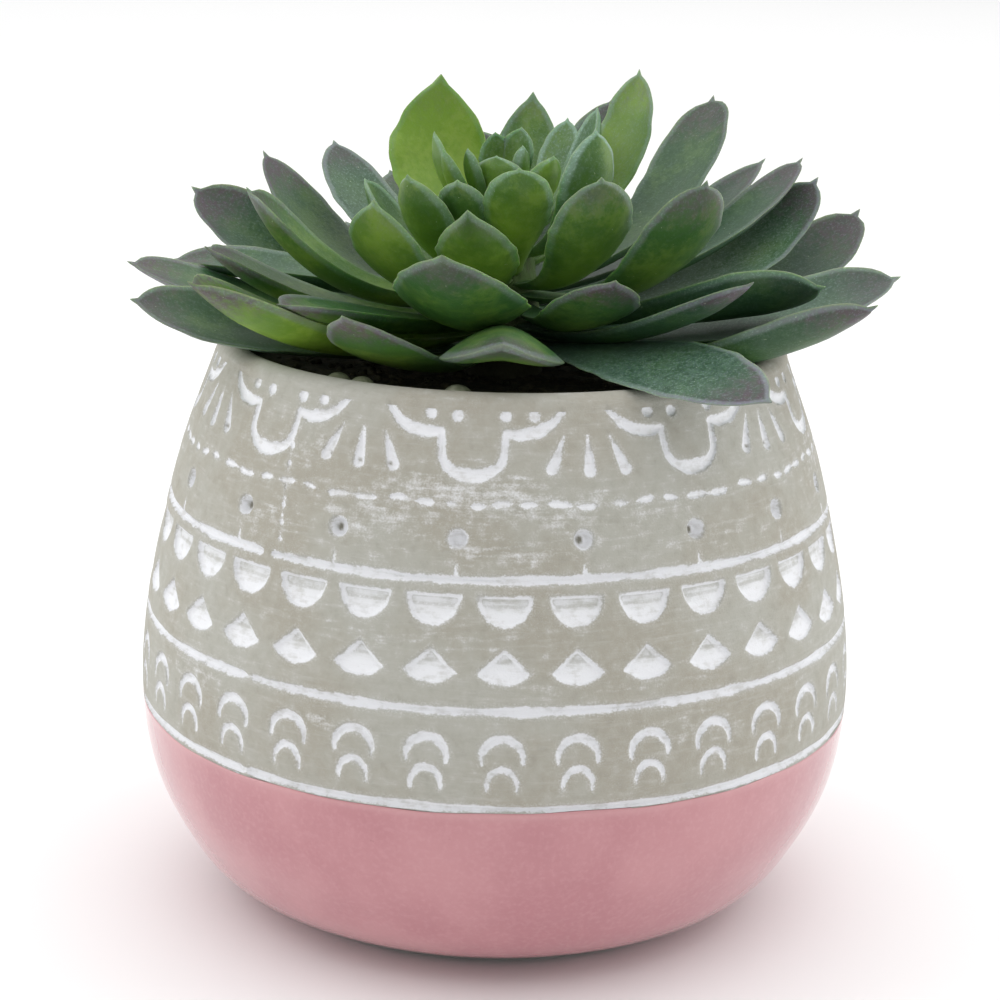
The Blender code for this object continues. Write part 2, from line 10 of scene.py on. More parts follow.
import logging
from dataclasses import dataclass, field
from enum import Enum
from functools import partialmethod
from math import cos, pi, radians, sin
from typing import Any, Callable, Optional

import bpy
import numpy as np
from mathutils import Matrix, Vector


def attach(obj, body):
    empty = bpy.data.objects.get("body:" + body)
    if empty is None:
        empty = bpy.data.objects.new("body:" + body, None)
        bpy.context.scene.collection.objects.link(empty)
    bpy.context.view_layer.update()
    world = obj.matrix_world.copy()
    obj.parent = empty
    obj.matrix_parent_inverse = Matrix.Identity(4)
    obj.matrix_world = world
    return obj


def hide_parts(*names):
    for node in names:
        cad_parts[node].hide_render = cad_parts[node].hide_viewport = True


MM = 0.001
BODY = "root"

# Points nearer than this are merged, in metres.
MERGED = 2e-6

LOG = logging.getLogger("succulent")
Colour = tuple[float, float, float]
Field = np.ndarray
Outline = Callable[[Field, Field], Field]
Stroke = list[tuple[float, float, float]]
Section = tuple[tuple[float, float], ...]

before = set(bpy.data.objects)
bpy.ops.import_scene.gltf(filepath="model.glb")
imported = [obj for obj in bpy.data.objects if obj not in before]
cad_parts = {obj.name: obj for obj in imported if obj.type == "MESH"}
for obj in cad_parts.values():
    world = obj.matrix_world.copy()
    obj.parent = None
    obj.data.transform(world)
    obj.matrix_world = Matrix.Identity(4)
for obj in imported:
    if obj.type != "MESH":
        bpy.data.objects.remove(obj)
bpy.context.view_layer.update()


def srgb(red: int, green: int, blue: int) -> Colour:
    """A colour read off a screen, 0 to 255, as the linear values that a shader takes."""
    linear = [((c / 255 + 0.055) / 1.055) ** 2.4 if c > 10 else c / 255 / 12.92 for c in (red, green, blue)]
    return linear[0], linear[1], linear[2]


def eased(low: float, high: float, x: Field) -> Field:
    """Rises smoothly from 0 at low to 1 at high; low may be the greater of the two."""
    t = np.clip((x - low) / (high - low), 0, 1)
    return t * t * (3 - 2 * t)


def waves(x: Field, *terms: tuple[float, float, Any]) -> Field:
    """A sum of sine waves, each with its size, its rate and its phase in radians."""
    return sum(size * np.sin(x * rate + phase) for size, rate, phase in terms)


def turn_of(points: Field) -> Field:
    """The turn of each point round the pot, in radians from the front."""
    return np.arctan2(points[:, 0], -points[:, 1])


# Shader maths


class Value:
    """A socket of a material's nodes that takes part in Python arithmetic."""

    def __init__(self, graph: "Graph", socket: bpy.types.NodeSocket) -> None:
        """Keeps the socket and the graph that it belongs to."""
        self.graph = graph
        self.socket = socket

    def math(self, operation: str, *others: Any, clamp: bool = False) -> "Value":
        """Adds a Math node.

        Args:
            operation: The node's operation.
            others: The further operands, as numbers or values.
            clamp: Whether the result is held to 0 to 1.

        Returns:
            The node's result.
        """
        inputs = dict(enumerate((self, *others)))
        return self.graph.node("ShaderNodeMath", {"operation": operation, "use_clamp": clamp}, inputs)

    __add__ = __radd__ = partialmethod(math, "ADD")
    __mul__ = __rmul__ = partialmethod(math, "MULTIPLY")
    __sub__ = partialmethod(math, "SUBTRACT")
    most = partialmethod(math, "MAXIMUM")
    held = partialmethod(math, "ADD", 0.0, clamp=True)

    def __rsub__(self, other: Any) -> "Value":
        """The other less this."""
        return self * -1.0 + other

    def eased(self, low: float, high: float) -> "Value":
        """Rises smoothly as this value goes from low to high.

        Args:
            low: Where it is 0, which may be the greater of the two.
            high: Where it is 1.

        Returns:
            The share, from 0 to 1.
        """
        if low > high:
            return 1.0 - self.eased(high, low)
        settings = {"interpolation_type": "SMOOTHSTEP"}
        return self.graph.node("ShaderNodeMapRange", settings, {0: self, 1: low, 2: high})


class Graph:
    """The node tree of one procedural material."""

    def __init__(self, name: str) -> None:
        """Makes an empty material.

        Args:
            name: The material's name.
        """
        self.material = bpy.data.materials.new(name)
        self.material.use_nodes = True
        self.tree = self.material.node_tree
        self.tree.nodes.clear()

    def node(
        self,
        kind: str,
        settings: Optional[dict[str, Any]] = None,
        inputs: Optional[dict[Any, Any]] = None,
        output: Any = 0,
    ) -> Value:
        """Adds a node.

        Args:
            kind: The node's type.
            settings: Its properties, set before its sockets.
            inputs: A value or a link for each socket, by name or place.
            output: Which output is wanted, by name or place.

        Returns:
            That output.
        """
        made = self.tree.nodes.new(kind)
        for key, setting in (settings or {}).items():
            setattr(made, key, setting)
        for key, given in (inputs or {}).items():
            socket = made.inputs[key]
            if isinstance(given, Value):
                self.tree.links.new(given.socket, socket)
            elif socket.type == "RGBA":
                socket.default_value = (*given[:3], 1.0)
            else:
                socket.default_value = given
        return Value(self, made.outputs[output])

    def place(self, stretch: Colour = (1.0, 1.0, 1.0)) -> Value:
        """The point on the object in millimetres, times a factor along each axis.

        Args:
            stretch: A factor for each axis.

        Returns:
            The point as a vector.
        """
        point = self.node("ShaderNodeTexCoord", output="Object")
        scale = tuple(s / MM for s in stretch)
        return self.node("ShaderNodeVectorMath", {"operation": "MULTIPLY"}, {0: point, 1: scale})

    def noise(self, at: Value, scale: float, detail: float = 2.0, rough: float = 0.5) -> Value:
        """Noise from 0 to 1 at a point, with its scale per millimetre."""
        inputs = {"Vector": at, "Scale": scale, "Detail": detail, "Roughness": rough}
        return self.node("ShaderNodeTexNoise", None, inputs)

    def stored(self, name: str) -> Value:
        """A number that the mesh holds at each point."""
        return self.node("ShaderNodeAttribute", {"attribute_name": name}, output="Fac")

    def mixed(self, share: Any, first: Any, second: Any) -> Value:
        """A colour that goes from the first to the second as the share goes from 0 to 1."""
        settings = {"data_type": "RGBA", "clamp_factor": True}
        return self.node("ShaderNodeMix", settings, {0: share, 6: first, 7: second}, output=2)

    def bumped(self, height: Value, depth: float, strength: float = 1.0) -> Value:
        """A bent normal, for a height from 0 to 1 that stands for a depth in millimetres."""
        inputs = {"Height": height, "Distance": depth * MM, "Strength": strength}
        return self.node("ShaderNodeBump", None, inputs, output="Normal")

    def finished(self, **sockets: Any) -> bpy.types.Material:
        """Closes the material with a Principled shader.

        Args:
            sockets: Values or links for its sockets, with underscores for blanks.

        Returns:
            The material.
        """
        inputs = {key.replace("_", " "): given for key, given in sockets.items()}
        shader = self.node("ShaderNodeBsdfPrincipled", None, inputs)
        end = self.tree.nodes.new("ShaderNodeOutputMaterial")
        self.tree.links.new(shader.socket, end.inputs["Surface"])
        return self.material


@dataclass(frozen=True)
class ClayFinish:
    """Bare stoneware with chalky white paint rubbed into what is pressed, and smeared a little; painted
    shade greys the upper part of each scooped stamp and draws a dark line across it.
    """

    grey: Colour = srgb(170, 169, 160)
    warm: Colour = srgb(163, 159, 147)
    light: Colour = srgb(184, 184, 178)
    dark: Colour = srgb(146, 144, 133)
    spot: Colour = srgb(126, 123, 111)
    paint: Colour = srgb(229, 230, 233)
    # Greyer paint for the upper part of the scooped stamps: partly thin paint, partly painted shade.
    thin_shaded_paint: Colour = srgb(200, 201, 199)

    def material(self) -> bpy.types.Material:
        """The finish as a material.

        Returns:
            The new material.
        """
        g = Graph("bare_clay_with_rubbed_paint")
        at = g.place()
        patches = g.noise(at, 0.045, 3.0, 0.6)
        mottle = g.noise(at, 0.55, 5.0, 0.62)
        grain = g.noise(at, 3.4, 3.0, 0.6)
        dust = g.noise(at, 7.5, 2.0, 0.6)
        streaks = g.noise(g.place((0.16, 0.16, 1.15)), 1.0, 5.0, 0.68)
        distance, hollow, bare = g.stored("stamp_distance"), g.stored("hollow"), g.stored("bare")
        inside = (distance + (mottle - 0.5) * 1.0 + (grain - 0.5) * 0.7).eased(0.16, -0.14)
        halo = distance.eased(1.0, 0.0) * (grain * 0.6 + dust * 0.4).eased(0.46, 0.62) * 0.42
        brushed = streaks * 0.9 + mottle * 0.7 + grain * 0.5 + g.stored("rub") * 0.34
        smear = brushed.eased(1.14, 1.6)
        dusted = (dust * 0.6 + patches * 0.4).eased(0.6, 0.68) * 0.25
        haze = streaks.eased(0.48, 0.72) * 0.12
        worn = inside * (1.0 - (mottle * 0.5 + streaks * 0.5).eased(0.48, 0.64) * 0.4)
        white = worn.most(halo).most(smear * 0.8).most(dusted).most(haze) * (1.0 - bare)
        clay = g.mixed(patches.eased(0.38, 0.62), self.grey, self.warm)
        clay = g.mixed(mottle.eased(0.45, 0.8) * 0.5, clay, self.light)
        clay = g.mixed(mottle.eased(0.5, 0.22) * 0.45, clay, self.dark)
        clay = g.mixed(bare, clay, self.spot)
        # A thin dark line painted where a scooped stamp's floor meets its steep upper wall: a painted
        # shadow, in the dark clay colour.
        painted_shadow_line = hollow.eased(0.56, 0.63) * hollow.eased(0.74, 0.67) * grain.eased(0.3, 0.5) * 0.3
        # Greyer towards the upper, deeper part of a scooped stamp: partly thinner paint, partly painted
        # shade of its upper wall.
        thin = hollow.eased(0.3, 0.75) * (0.3 + (streaks * 0.5 + mottle * 0.5).eased(0.4, 0.6) * 0.6)
        coat = g.mixed(thin, self.paint, self.thin_shaded_paint)
        coat = g.mixed(painted_shadow_line, coat, self.dark)
        step = distance.eased(0.2, -0.35)
        height = (1.0 - step) * 0.55 + mottle * 0.14 + grain * 0.15 + white * 0.1
        return g.finished(
            Base_Color=g.mixed(white, clay, coat),
            Roughness=0.78 - white * 0.08 + (grain - 0.5) * 0.1,
            Normal=g.bumped(height, 0.8, 0.7),
            Specular_IOR_Level=0.3,
        )


@dataclass(frozen=True)
class GlazeFinish:
    """A glossy dusty pink glaze with faint clouds and specks."""

    pink: Colour = srgb(191, 134, 139)
    deep: Colour = srgb(180, 120, 127)
    pale: Colour = srgb(203, 150, 153)
    speck: Colour = srgb(146, 94, 100)
    worn: Colour = srgb(204, 156, 156)

    def material(self) -> bpy.types.Material:
        """The finish as a material.

        Returns:
            The new material.
        """
        g = Graph("pink_glaze")
        at = g.place()
        clouds = g.noise(at, 0.05, 3.0, 0.5)
        ripple = g.noise(at, 0.22, 2.0, 0.5)
        fine = g.noise(at, 1.1, 3.0, 0.55)
        specks = g.noise(at, 1.9, 2.0, 0.5).eased(0.74, 0.8)
        colour = g.mixed(clouds.eased(0.35, 0.65), self.pink, self.deep)
        colour = g.mixed(fine.eased(0.4, 0.8) * 0.3, colour, self.pale)
        colour = g.mixed(specks * 0.4, colour, self.speck)
        colour = g.mixed(g.stored("thin_edge") * 0.4, colour, self.worn)
        return g.finished(
            Base_Color=colour,
            Roughness=0.14 + fine * 0.06,
            Normal=g.bumped(ripple * 0.8 + fine * 0.2, 0.3, 0.35),
            Coat_Weight=0.5,
            Coat_Roughness=0.06,
        )


@dataclass(frozen=True)
class LeafFinish:
    """Waxy skin: green with a pale bloom, dusky purple at the tip and a yellow-green heart lit by painted
    light through the leaf; its pale margins are partly a painted edge highlight.
    """

    deep: Colour = srgb(34, 64, 44)
    leafy: Colour = srgb(48, 90, 28)
    bright: Colour = srgb(120, 156, 40)
    lit: Colour = srgb(148, 176, 66)
    bloom: Colour = srgb(92, 122, 104)
    frosted: Colour = srgb(142, 168, 156)
    purple: Colour = srgb(80, 64, 74)
    lilac: Colour = srgb(128, 130, 146)
    margin: Colour = srgb(110, 124, 84)
    fleck: Colour = srgb(176, 190, 160)

    def material(self) -> bpy.types.Material:
        """The finish as a material; each leaf's own shares are stored on its mesh.

        Returns:
            The new material.
        """
        g = Graph("waxy_leaf_skin")
        at = g.place()
        along, across, rim = g.stored("along"), g.stored("across"), g.stored("rim")
        fresh, frost, dusk = g.stored("fresh"), g.stored("frost"), g.stored("dusk")
        under = g.stored("under")
        soft = g.noise(at, 0.11, 3.0, 0.55)
        wax = g.noise(at, 0.8, 4.0, 0.65)
        grain = g.noise(at, 2.3, 2.0, 0.75)
        lines = g.noise(g.place((0.5, 0.5, 0.5)), 1.0, 2.0, 0.5)
        # Painted light shining through the leaf: brighter, yellower green along the middle of the blade,
        # most on its underside and towards its root.
        glow = (1.0 - across * across) * (0.35 + under * 0.65) * along.eased(1.0, 0.4)
        # The leaf's own freshness plus that painted glow sets how bright and yellow its green is.
        fresh_and_glow = (fresh + glow * 0.3 + (soft - 0.5) * 0.4).held()
        colour = g.mixed(fresh_and_glow.eased(0.0, 0.5), self.deep, self.leafy)
        colour = g.mixed(fresh_and_glow.eased(0.42, 1.05), colour, self.bright)
        colour = g.mixed((lines - 0.5).eased(0.0, 0.3) * 0.15, colour, self.leafy)
        colour = g.mixed((soft * 0.6 + wax * 0.4).eased(0.46, 0.62) * fresh * 0.55, colour, self.lit)
        speckle = grain.eased(0.5, 0.68)
        upper = 1.0 - under * 0.55
        bloom = frost * upper * (0.2 + wax.eased(0.3, 0.7) * 0.5)
        colour = g.mixed(bloom.held(), colour, self.bloom)
        colour = g.mixed(frost * upper * speckle * 0.38, colour, self.frosted)
        edge = rim.eased(1.4, 0.6) * (0.2 + along.eased(0.45, 0.8) * 0.8)
        # A pale band along the margins towards the tip: partly frosted bloom, partly a painted edge
        # highlight, so it shows even on leaves without bloom.
        colour = g.mixed((edge * (frost + 0.25) * (0.55 + speckle * 0.5)).held(), colour, self.frosted)
        tipward = (along + (wax - 0.5) * 0.22 + rim.eased(2.6, 0.0) * 0.08).eased(0.79, 0.97)
        band = edge * along.eased(0.5, 0.85)
        dusky = (dusk * tipward.most(band * 0.75)).held() * (0.6 + wax.eased(0.35, 0.6) * 0.4)
        colour = g.mixed(dusky, colour, self.purple)
        colour = g.mixed(dusky * (speckle * 0.3 + edge * frost * 0.7), colour, self.lilac)
        colour = g.mixed(rim.eased(0.35, 0.1) * 0.3, colour, self.margin)
        flecks = g.noise(at, 1.7, 1.0, 0.4).eased(0.78, 0.81)
        colour = g.mixed(flecks * 0.5, colour, self.fleck)
        return g.finished(
            Base_Color=colour,
            Roughness=0.44 + bloom * 0.14 + (wax - 0.5) * 0.12,
            Normal=g.bumped(wax * 0.5 + grain * 0.25 + soft, 0.22, 0.45),
            Specular_IOR_Level=0.4,
            Subsurface_Weight=0.2,
            Subsurface_Radius=(0.5, 1.0, 0.2),
            Subsurface_Scale=0.0022,
        )


@dataclass(frozen=True)
class SoilFinish:
    """Loose dark potting soil with paler crumbs."""

    damp: Colour = srgb(44, 48, 30)
    crumb: Colour = srgb(80, 76, 52)
    fibre: Colour = srgb(98, 88, 64)

    def material(self) -> bpy.types.Material:
        """The finish as a material.

        Returns:
            The new material.
        """
        g = Graph("dark_potting_soil")
        at = g.place()
        crumbs = g.noise(at, 0.6, 5.0, 0.7)
        fibres = g.noise(g.place((0.8, 2.4, 1.2)), 1.0, 4.0, 0.65)
        colour = g.mixed(crumbs.eased(0.35, 0.7), self.damp, self.crumb)
        colour = g.mixed(fibres.eased(0.62, 0.75) * 0.4, colour, self.fibre)
        height = crumbs * 0.7 + fibres * 0.3
        return g.finished(Base_Color=colour, Roughness=0.95, Normal=g.bumped(height, 0.8, 0.9))


@dataclass(frozen=True)
class BeadFinish:
    """A smooth, slightly cloudy bead of pale olive grey."""

    olive: Colour = srgb(112, 116, 96)
    pale: Colour = srgb(146, 148, 128)

    def material(self) -> bpy.types.Material:
        """The finish as a material.

        Returns:
            The new material.
        """
        g = Graph("cloudy_bead")
        at = g.place()
        clouds = g.noise(at, 0.9, 3.0, 0.6)
        colour = g.mixed(clouds.eased(0.3, 0.7), self.olive, self.pale)
        bump = g.bumped(clouds, 0.15, 0.4)
        return g.finished(Base_Color=colour, Roughness=0.28, Normal=bump, Coat_Weight=0.4)


@dataclass(frozen=True)
class StemFinish:
    """A green stalk that turns woody towards the soil."""

    woody: Colour = srgb(58, 60, 36)
    green: Colour = srgb(72, 98, 42)
    bark: Colour = srgb(60, 56, 36)
    woody_up_to: float = 90.0
    green_from: float = 106.0

    def material(self) -> bpy.types.Material:
        """The finish as a material.

        Returns:
            The new material.
        """
        g = Graph("woody_stem")
        at = g.place()
        bark = g.noise(g.place((1.0, 1.0, 0.35)), 1.0, 5.0, 0.65)
        rise = g.node("ShaderNodeSeparateXYZ", None, {0: at}, output="Z")
        young = rise.eased(self.woody_up_to, self.green_from)
        colour = g.mixed(young, self.woody, self.green)
        colour = g.mixed(bark.eased(0.45, 0.7) * 0.5, colour, self.bark)
        return g.finished(Base_Color=colour, Roughness=0.7, Normal=g.bumped(bark, 0.6, 0.7))


class Finish(Enum):
    """The object's finishes, each with the record's material slot that it stands for."""

    CLAY = ("bare_clay", ClayFinish())
    GLAZE = ("pink_glaze", GlazeFinish())
    SOIL = ("soil", SoilFinish())
    BEAD = ("bead", BeadFinish())
    STEM = ("stem", StemFinish())
    LEAF = ("leaf", LeafFinish())
    HEART = ("heart", LeafFinish())

    def dress(self, piece: bpy.types.Object) -> None:
        """Gives a piece this finish.

        Args:
            piece: The finished piece.
        """
        slot, look = self.value
        made = _MATERIALS.get(type(look).__name__)
        if made is None:
            made = _MATERIALS[type(look).__name__] = look.material()
        piece.data.materials.clear()
        piece.data.materials.append(made)


_MATERIALS: dict[str, bpy.types.Material] = {}


# Meshes


def select_only(obj: bpy.types.Object) -> None:
    """Makes one object the only selected and the active one.

    Args:
        obj: The object.
    """
    bpy.ops.object.select_all(action="DESELECT")
    obj.select_set(True)
    bpy.context.view_layer.objects.active = obj


def fused(pieces: list[bpy.types.Object]) -> bpy.types.Object:
    """Joins pieces into the first of them.

    Args:
        pieces: The pieces, each with its own mesh.

    Returns:
        The first piece, which now holds them all.
    """
    select_only(pieces[0])
    for piece in pieces:
        piece.select_set(True)
    bpy.ops.object.join()
    return pieces[0]


def points_of(obj: bpy.types.Object) -> Field:
    """Reads a mesh's points.

    Args:
        obj: A mesh object.

    Returns:
        Its points in millimetres, one row each.
    """
    flat = np.empty(len(obj.data.vertices) * 3)
    obj.data.vertices.foreach_get("co", flat)
    return flat.reshape(-1, 3) / MM


def move_points(obj: bpy.types.Object, points: Field) -> None:
    """Puts the object's points at these places in millimetres."""
    obj.data.vertices.foreach_set("co", (points * MM).ravel())
    obj.data.update()


def store(obj: bpy.types.Object, name: str, numbers: Field) -> None:
    """Keeps a number at each point of a mesh, for its shader."""
    made = obj.data.attributes.new(name, "FLOAT", "POINT")
    made.data.foreach_set("value", np.broadcast_to(numbers, len(obj.data.vertices)).astype(np.float32))


def grid_piece(name: str, across: int, along: int, shape: Outline) -> bpy.types.Object:
    """Adds a grid and bends it to a shape.

    Args:
        name: The new object's name.
        across: Its number of faces one way.
        along: Its number of faces the other way.
        shape: Gives places in millimetres for whole-number steps across and along.

    Returns:
        The new object, selected.
    """
    bpy.ops.object.select_all(action="DESELECT")
    bpy.ops.mesh.primitive_grid_add(x_subdivisions=across, y_subdivisions=along, size=1.0)
    obj = bpy.context.object
    obj.name = obj.data.name = name
    flat = points_of(obj) * MM + 0.5
    move_points(obj, shape(np.rint(flat[:, 0] * across), np.rint(flat[:, 1] * along)))
    return obj


def close_up(obj: bpy.types.Object, outward: bool = True) -> None:
    """Merges a mesh's seam and poles and smooths its shading.

    Args:
        obj: The mesh object.
        outward: Whether its faces are turned outwards.
    """
    select_only(obj)
    bpy.ops.object.mode_set(mode="EDIT")
    bpy.ops.mesh.select_all(action="SELECT")
    bpy.ops.mesh.remove_doubles(threshold=MERGED)
    if outward:
        bpy.ops.mesh.normals_make_consistent(inside=False)
    bpy.ops.object.mode_set(mode="OBJECT")
    bpy.ops.object.shade_smooth()


def turned_piece(name: str, outline: Field, sides: int, outward: bool = True) -> bpy.types.Object:
    """Turns an outline about the vertical axis.

    Args:
        name: The new object's name.
        outline: Radius and height of each of its points, in order.
        sides: The number of faces round it.
        outward: Whether its faces are turned outwards.

    Returns:
        The new object, with its seam closed.
    """

    def shape(across: Field, along: Field) -> Field:
        """Places for steps round the axis and along the outline."""
        turn = across / sides * 2 * pi
        radius, height = outline[along.astype(int)].T
        return np.stack([radius * np.sin(turn), radius * np.cos(turn), height], axis=-1)

    obj = grid_piece(name, sides, len(outline) - 1, shape)
    close_up(obj, outward)
    return obj


def settle(piece: bpy.types.Object, finish: Finish, *nodes: str) -> None:
    """Dresses a finished piece, lets it ride on the body and stand for its nodes.

    Args:
        piece: The piece.
        finish: What it is dressed in.
        nodes: The frame's nodes that it stands for.
    """
    finish.dress(piece)
    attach(piece, BODY)
    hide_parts(*nodes)
    LOG.info("%s: %d faces, stands for %s", piece.name, len(piece.data.polygons), ", ".join(nodes))


@dataclass(frozen=True)
class Detail:
    share: float = 1.0

    def of(self, count: int) -> int:
        """A number of faces at this fineness."""
        return max(6, int(count * self.share))


DETAIL = Detail()


# Pot


@dataclass(frozen=True)
class PotShape:
    """The pot's section: radii at heights, the lip, the wall, the glaze and its seat."""

    heights: tuple[float, ...] = (0.0, 6.0, 14.0, 24.0, 36.0, 50.0, 64.0, 78.0, 92.0)
    radii: tuple[float, ...] = (36.0, 47.9, 54.1, 58.4, 60.0, 59.1, 56.4, 52.8, 47.7)
    lip_top: float = 95.5
    lip_round: float = 2.3
    lip_radius: float = 44.9
    wall: float = 4.2
    glaze_top: float = 34.7
    glaze_bottom: float = 0.8
    glaze_thickness: float = 0.7
    clearance: float = 0.3
    joint: float = 0.05
    underside: Section = ((0.0, 0.0), (20.0, 0.0), (35.3, 0.0), (35.9, 0.25))

    def radius(self, height: Field) -> tuple[Field, Field]:
        """The wall's outside, as a smooth curve through its radii.

        Args:
            height: Heights in millimetres.

        Returns:
            The radii, and how fast they change with the height.
        """
        xs, ys = np.array(self.heights), np.array(self.radii)
        order = np.arange(len(xs))
        low, high = np.maximum(order - 1, 0), np.minimum(order + 1, len(xs) - 1)
        slopes = (ys[high] - ys[low]) / (xs[high] - xs[low])
        x = np.asarray(height, float)
        i = np.clip(np.searchsorted(xs, x) - 1, 0, len(xs) - 2)
        span = xs[i + 1] - xs[i]
        t = (x - xs[i]) / span
        start, end, rise = slopes[i] * span, slopes[i + 1] * span, ys[i + 1] - ys[i]
        bend_2, bend_3 = 3 * rise - 2 * start - end, start + end - 2 * rise
        value = ys[i] + start * t + bend_2 * t**2 + bend_3 * t**3
        return value, (start + 2 * bend_2 * t + 3 * bend_3 * t**2) / span

    def wall_points(self, height: Field, inset: Any = 0.0) -> Field:
        """Points on the outside, moved inwards square to the wall.

        Args:
            height: Heights of the points on the outside.
            inset: How far they are moved inwards.

        Returns:
            Radius and height of each.
        """
        radius, slope = self.radius(height)
        lean = np.arctan(slope)
        return np.stack([radius - inset * np.cos(lean), height + inset * np.sin(lean)], axis=-1)

    def edge_wander(self, turn: Field) -> Field:
        """How far the glaze's upper edge strays at a turn in radians."""
        return waves(turn, (0.16, 4, 1), (0.1, 9, 0), (0.06, 23, 2))

    def lip(self, steps: int) -> Field:
        """The rounded lip, from the outside over the top to the inside.

        Args:
            steps: The number of points.

        Returns:
            Radius and height of each.
        """
        turn = np.linspace(0, pi, steps)
        centre = self.lip_top - self.lip_round
        radius = self.lip_radius + self.lip_round * np.cos(turn)
        return np.stack([radius, centre + self.lip_round * np.sin(turn)], axis=-1)


# Distances that stand for no stamp, in the search for one and in what the shader gets.
FAR = 99.0
UNSTAMPED = 9.0


def wrapped(turn: Field, columns: int, first: float) -> Field:
    """The turn from the nearest of evenly spaced columns, in degrees."""
    pitch = 360 / columns
    return (turn - first + pitch / 2) % pitch - pitch / 2


def joined(first: Field, second: Field, soft: float = 0.35) -> Field:
    """The greater of two distances, with the corner between them rounded."""
    blend = np.clip(0.5 + 0.5 * (first - second) / soft, 0, 1)
    return second * (1 - blend) + first * blend + soft * blend * (1 - blend)


def stroke_distance(x: Field, y: Field, path: Stroke) -> Field:
    """Distance to a bent stroke.

    Args:
        x: Places to the right.
        y: Places upwards.
        path: The stroke's points, each with its half width.

    Returns:
        The distance to its edge, negative inside.
    """
    best = np.full(x.shape, FAR)
    for (ax, ay, aw), (bx, by, bw) in zip(path, path[1:]):
        dx, dy = bx - ax, by - ay
        t = np.clip(((x - ax) * dx + (y - ay) * dy) / (dx * dx + dy * dy), 0, 1)
        best = np.minimum(best, np.hypot(x - ax - t * dx, y - ay - t * dy) - (aw + t * (bw - aw)))
    return best


@dataclass(frozen=True)
class Press:
    """One kind of stamp, repeated round the pot.

    columns, first and height place it. scoop makes its floor shallower towards its lower edge,
    half_height below its middle. bare is the outline of a spot that the paint missed.
    """

    columns: int
    first: float
    height: float
    outline: Outline
    depth: float = 0.6
    scoop: float = 0.0
    half_height: float = 2.5
    bare: Optional[Outline] = None

    def floor(self, up: Field) -> Field:
        """The depth of its floor, from its lower edge, 0, to its upper edge, 1."""
        return self.depth * (1 - self.scoop + self.scoop * up**0.8)

    def missed(self, turn: Field) -> Field:
        """How much of the bare spot shows at a turn; the paint filled it in every third column."""
        return eased(0.85, 0.5, np.cos(np.radians(turn - self.first) * self.columns / 3))


def half_moon(x: Field, y: Field) -> Field:
    """A half disc with its flat side up."""
    half_width, flat, drop, size = 4.15, 2.3, 4.75, 4.3
    return joined((np.hypot(x / half_width, (y - flat) / drop) - 1) * size, y - flat)


def wedge(x: Field, y: Field) -> Field:
    """A fan with its point up and a round lower edge.

    Args:
        x: Places to the right of its middle.
        y: Places above its middle.

    Returns:
        The distance to its edge, negative inside.
    """
    point, middle, reach = 2.75, 2.95, 5.6
    rise, run, length = 3.6, 4.05, 5.42
    sides = (np.abs(x) * rise + (y - point) * run) / length
    return joined(sides, np.hypot(x, y - middle) - reach)


def disc(radius: float, right: float = 0.0, up: float = 0.0, narrow: float = 1.0) -> Outline:
    """A round spot, moved from the stamp's middle and narrowed by a factor."""
    return lambda x, y: np.hypot((x - right) / narrow, y - up) - radius


def stroked(path: Stroke, lean: float = 0.0) -> Outline:
    """A bent stroke, leaned clockwise by some degrees."""
    c, s = cos(radians(lean)), sin(radians(lean))
    return lambda x, y: stroke_distance(x * c - y * s, x * s + y * c, path)


def bow(wide: float, high: float, foot: float, thick: float) -> Outline:
    """A round bow, thick at its top and fading into the tips of its feet.

    Args:
        wide: Half its span.
        high: Its rise.
        foot: How far its feet turn in, in degrees.
        thick: Half its thickness at the top.

    Returns:
        The bow as a stamp's outline.
    """
    thin, fade = 0.38, 0.6
    turns = np.radians(np.linspace(-foot, 180 + foot, 15))
    halves = [thick * (thin + (1 - thin) * max(0.0, sin(a)) ** fade) for a in turns]
    return stroked([(wide * cos(a), high * sin(a), half) for a, half in zip(turns, halves)])


def scallop(x: Field, y: Field) -> Field:
    """A deep U, thick at the bottom, with an arm that runs out and up from each of its ends.

    Args:
        x: Places to the right of its middle.
        y: Places above its middle.

    Returns:
        The distance to its edge, negative inside.
    """
    half_width, deep = 4.65, 3.2
    end = (4.75, 3.3)
    turns = np.radians(np.linspace(180, 360, 11))
    bowl = [(half_width * cos(a), deep * sin(a), 0.6 - 0.5 * sin(a) ** 3) for a in turns]
    bowl = [(-end[0], end[1], 0.55), *bowl, (*end, 0.55)]
    arm = [(*end, 0.6), (6.9, 3.05, 0.9), (9.4, 3.45, 0.95), (11.4, 4.6, 0.75), (13.2, 6.7, 0.35)]
    return np.minimum(stroke_distance(x, y, bowl), stroke_distance(np.abs(x), y, arm))


@dataclass(frozen=True)
class DashRing:
    """The broken line of uneven dashes that rings the pot."""

    level: float = 80.2
    dashes: int = 74
    mean: float = 0.28
    beat: float = 0.46
    thickest: float = 0.46

    def distance(self, turn: Field, height: Field) -> Field:
        """Distance to the nearest dash.

        Args:
            turn: Degrees from the front.
            height: Heights in millimetres.

        Returns:
            The distance to its edge, negative inside.
        """
        a = np.radians(turn)
        beat = np.sin(a * self.dashes + waves(a, (1.6, 5, 0), (0.8, 11, 1)))
        half = self.mean + self.beat * beat + waves(a, (0.2, 29, 2), (0.14, 13, 0))
        level = self.level + waves(a, (0.22, 17, 0), (0.12, 41, 1))
        return np.abs(height - level) - np.minimum(half, self.thickest)


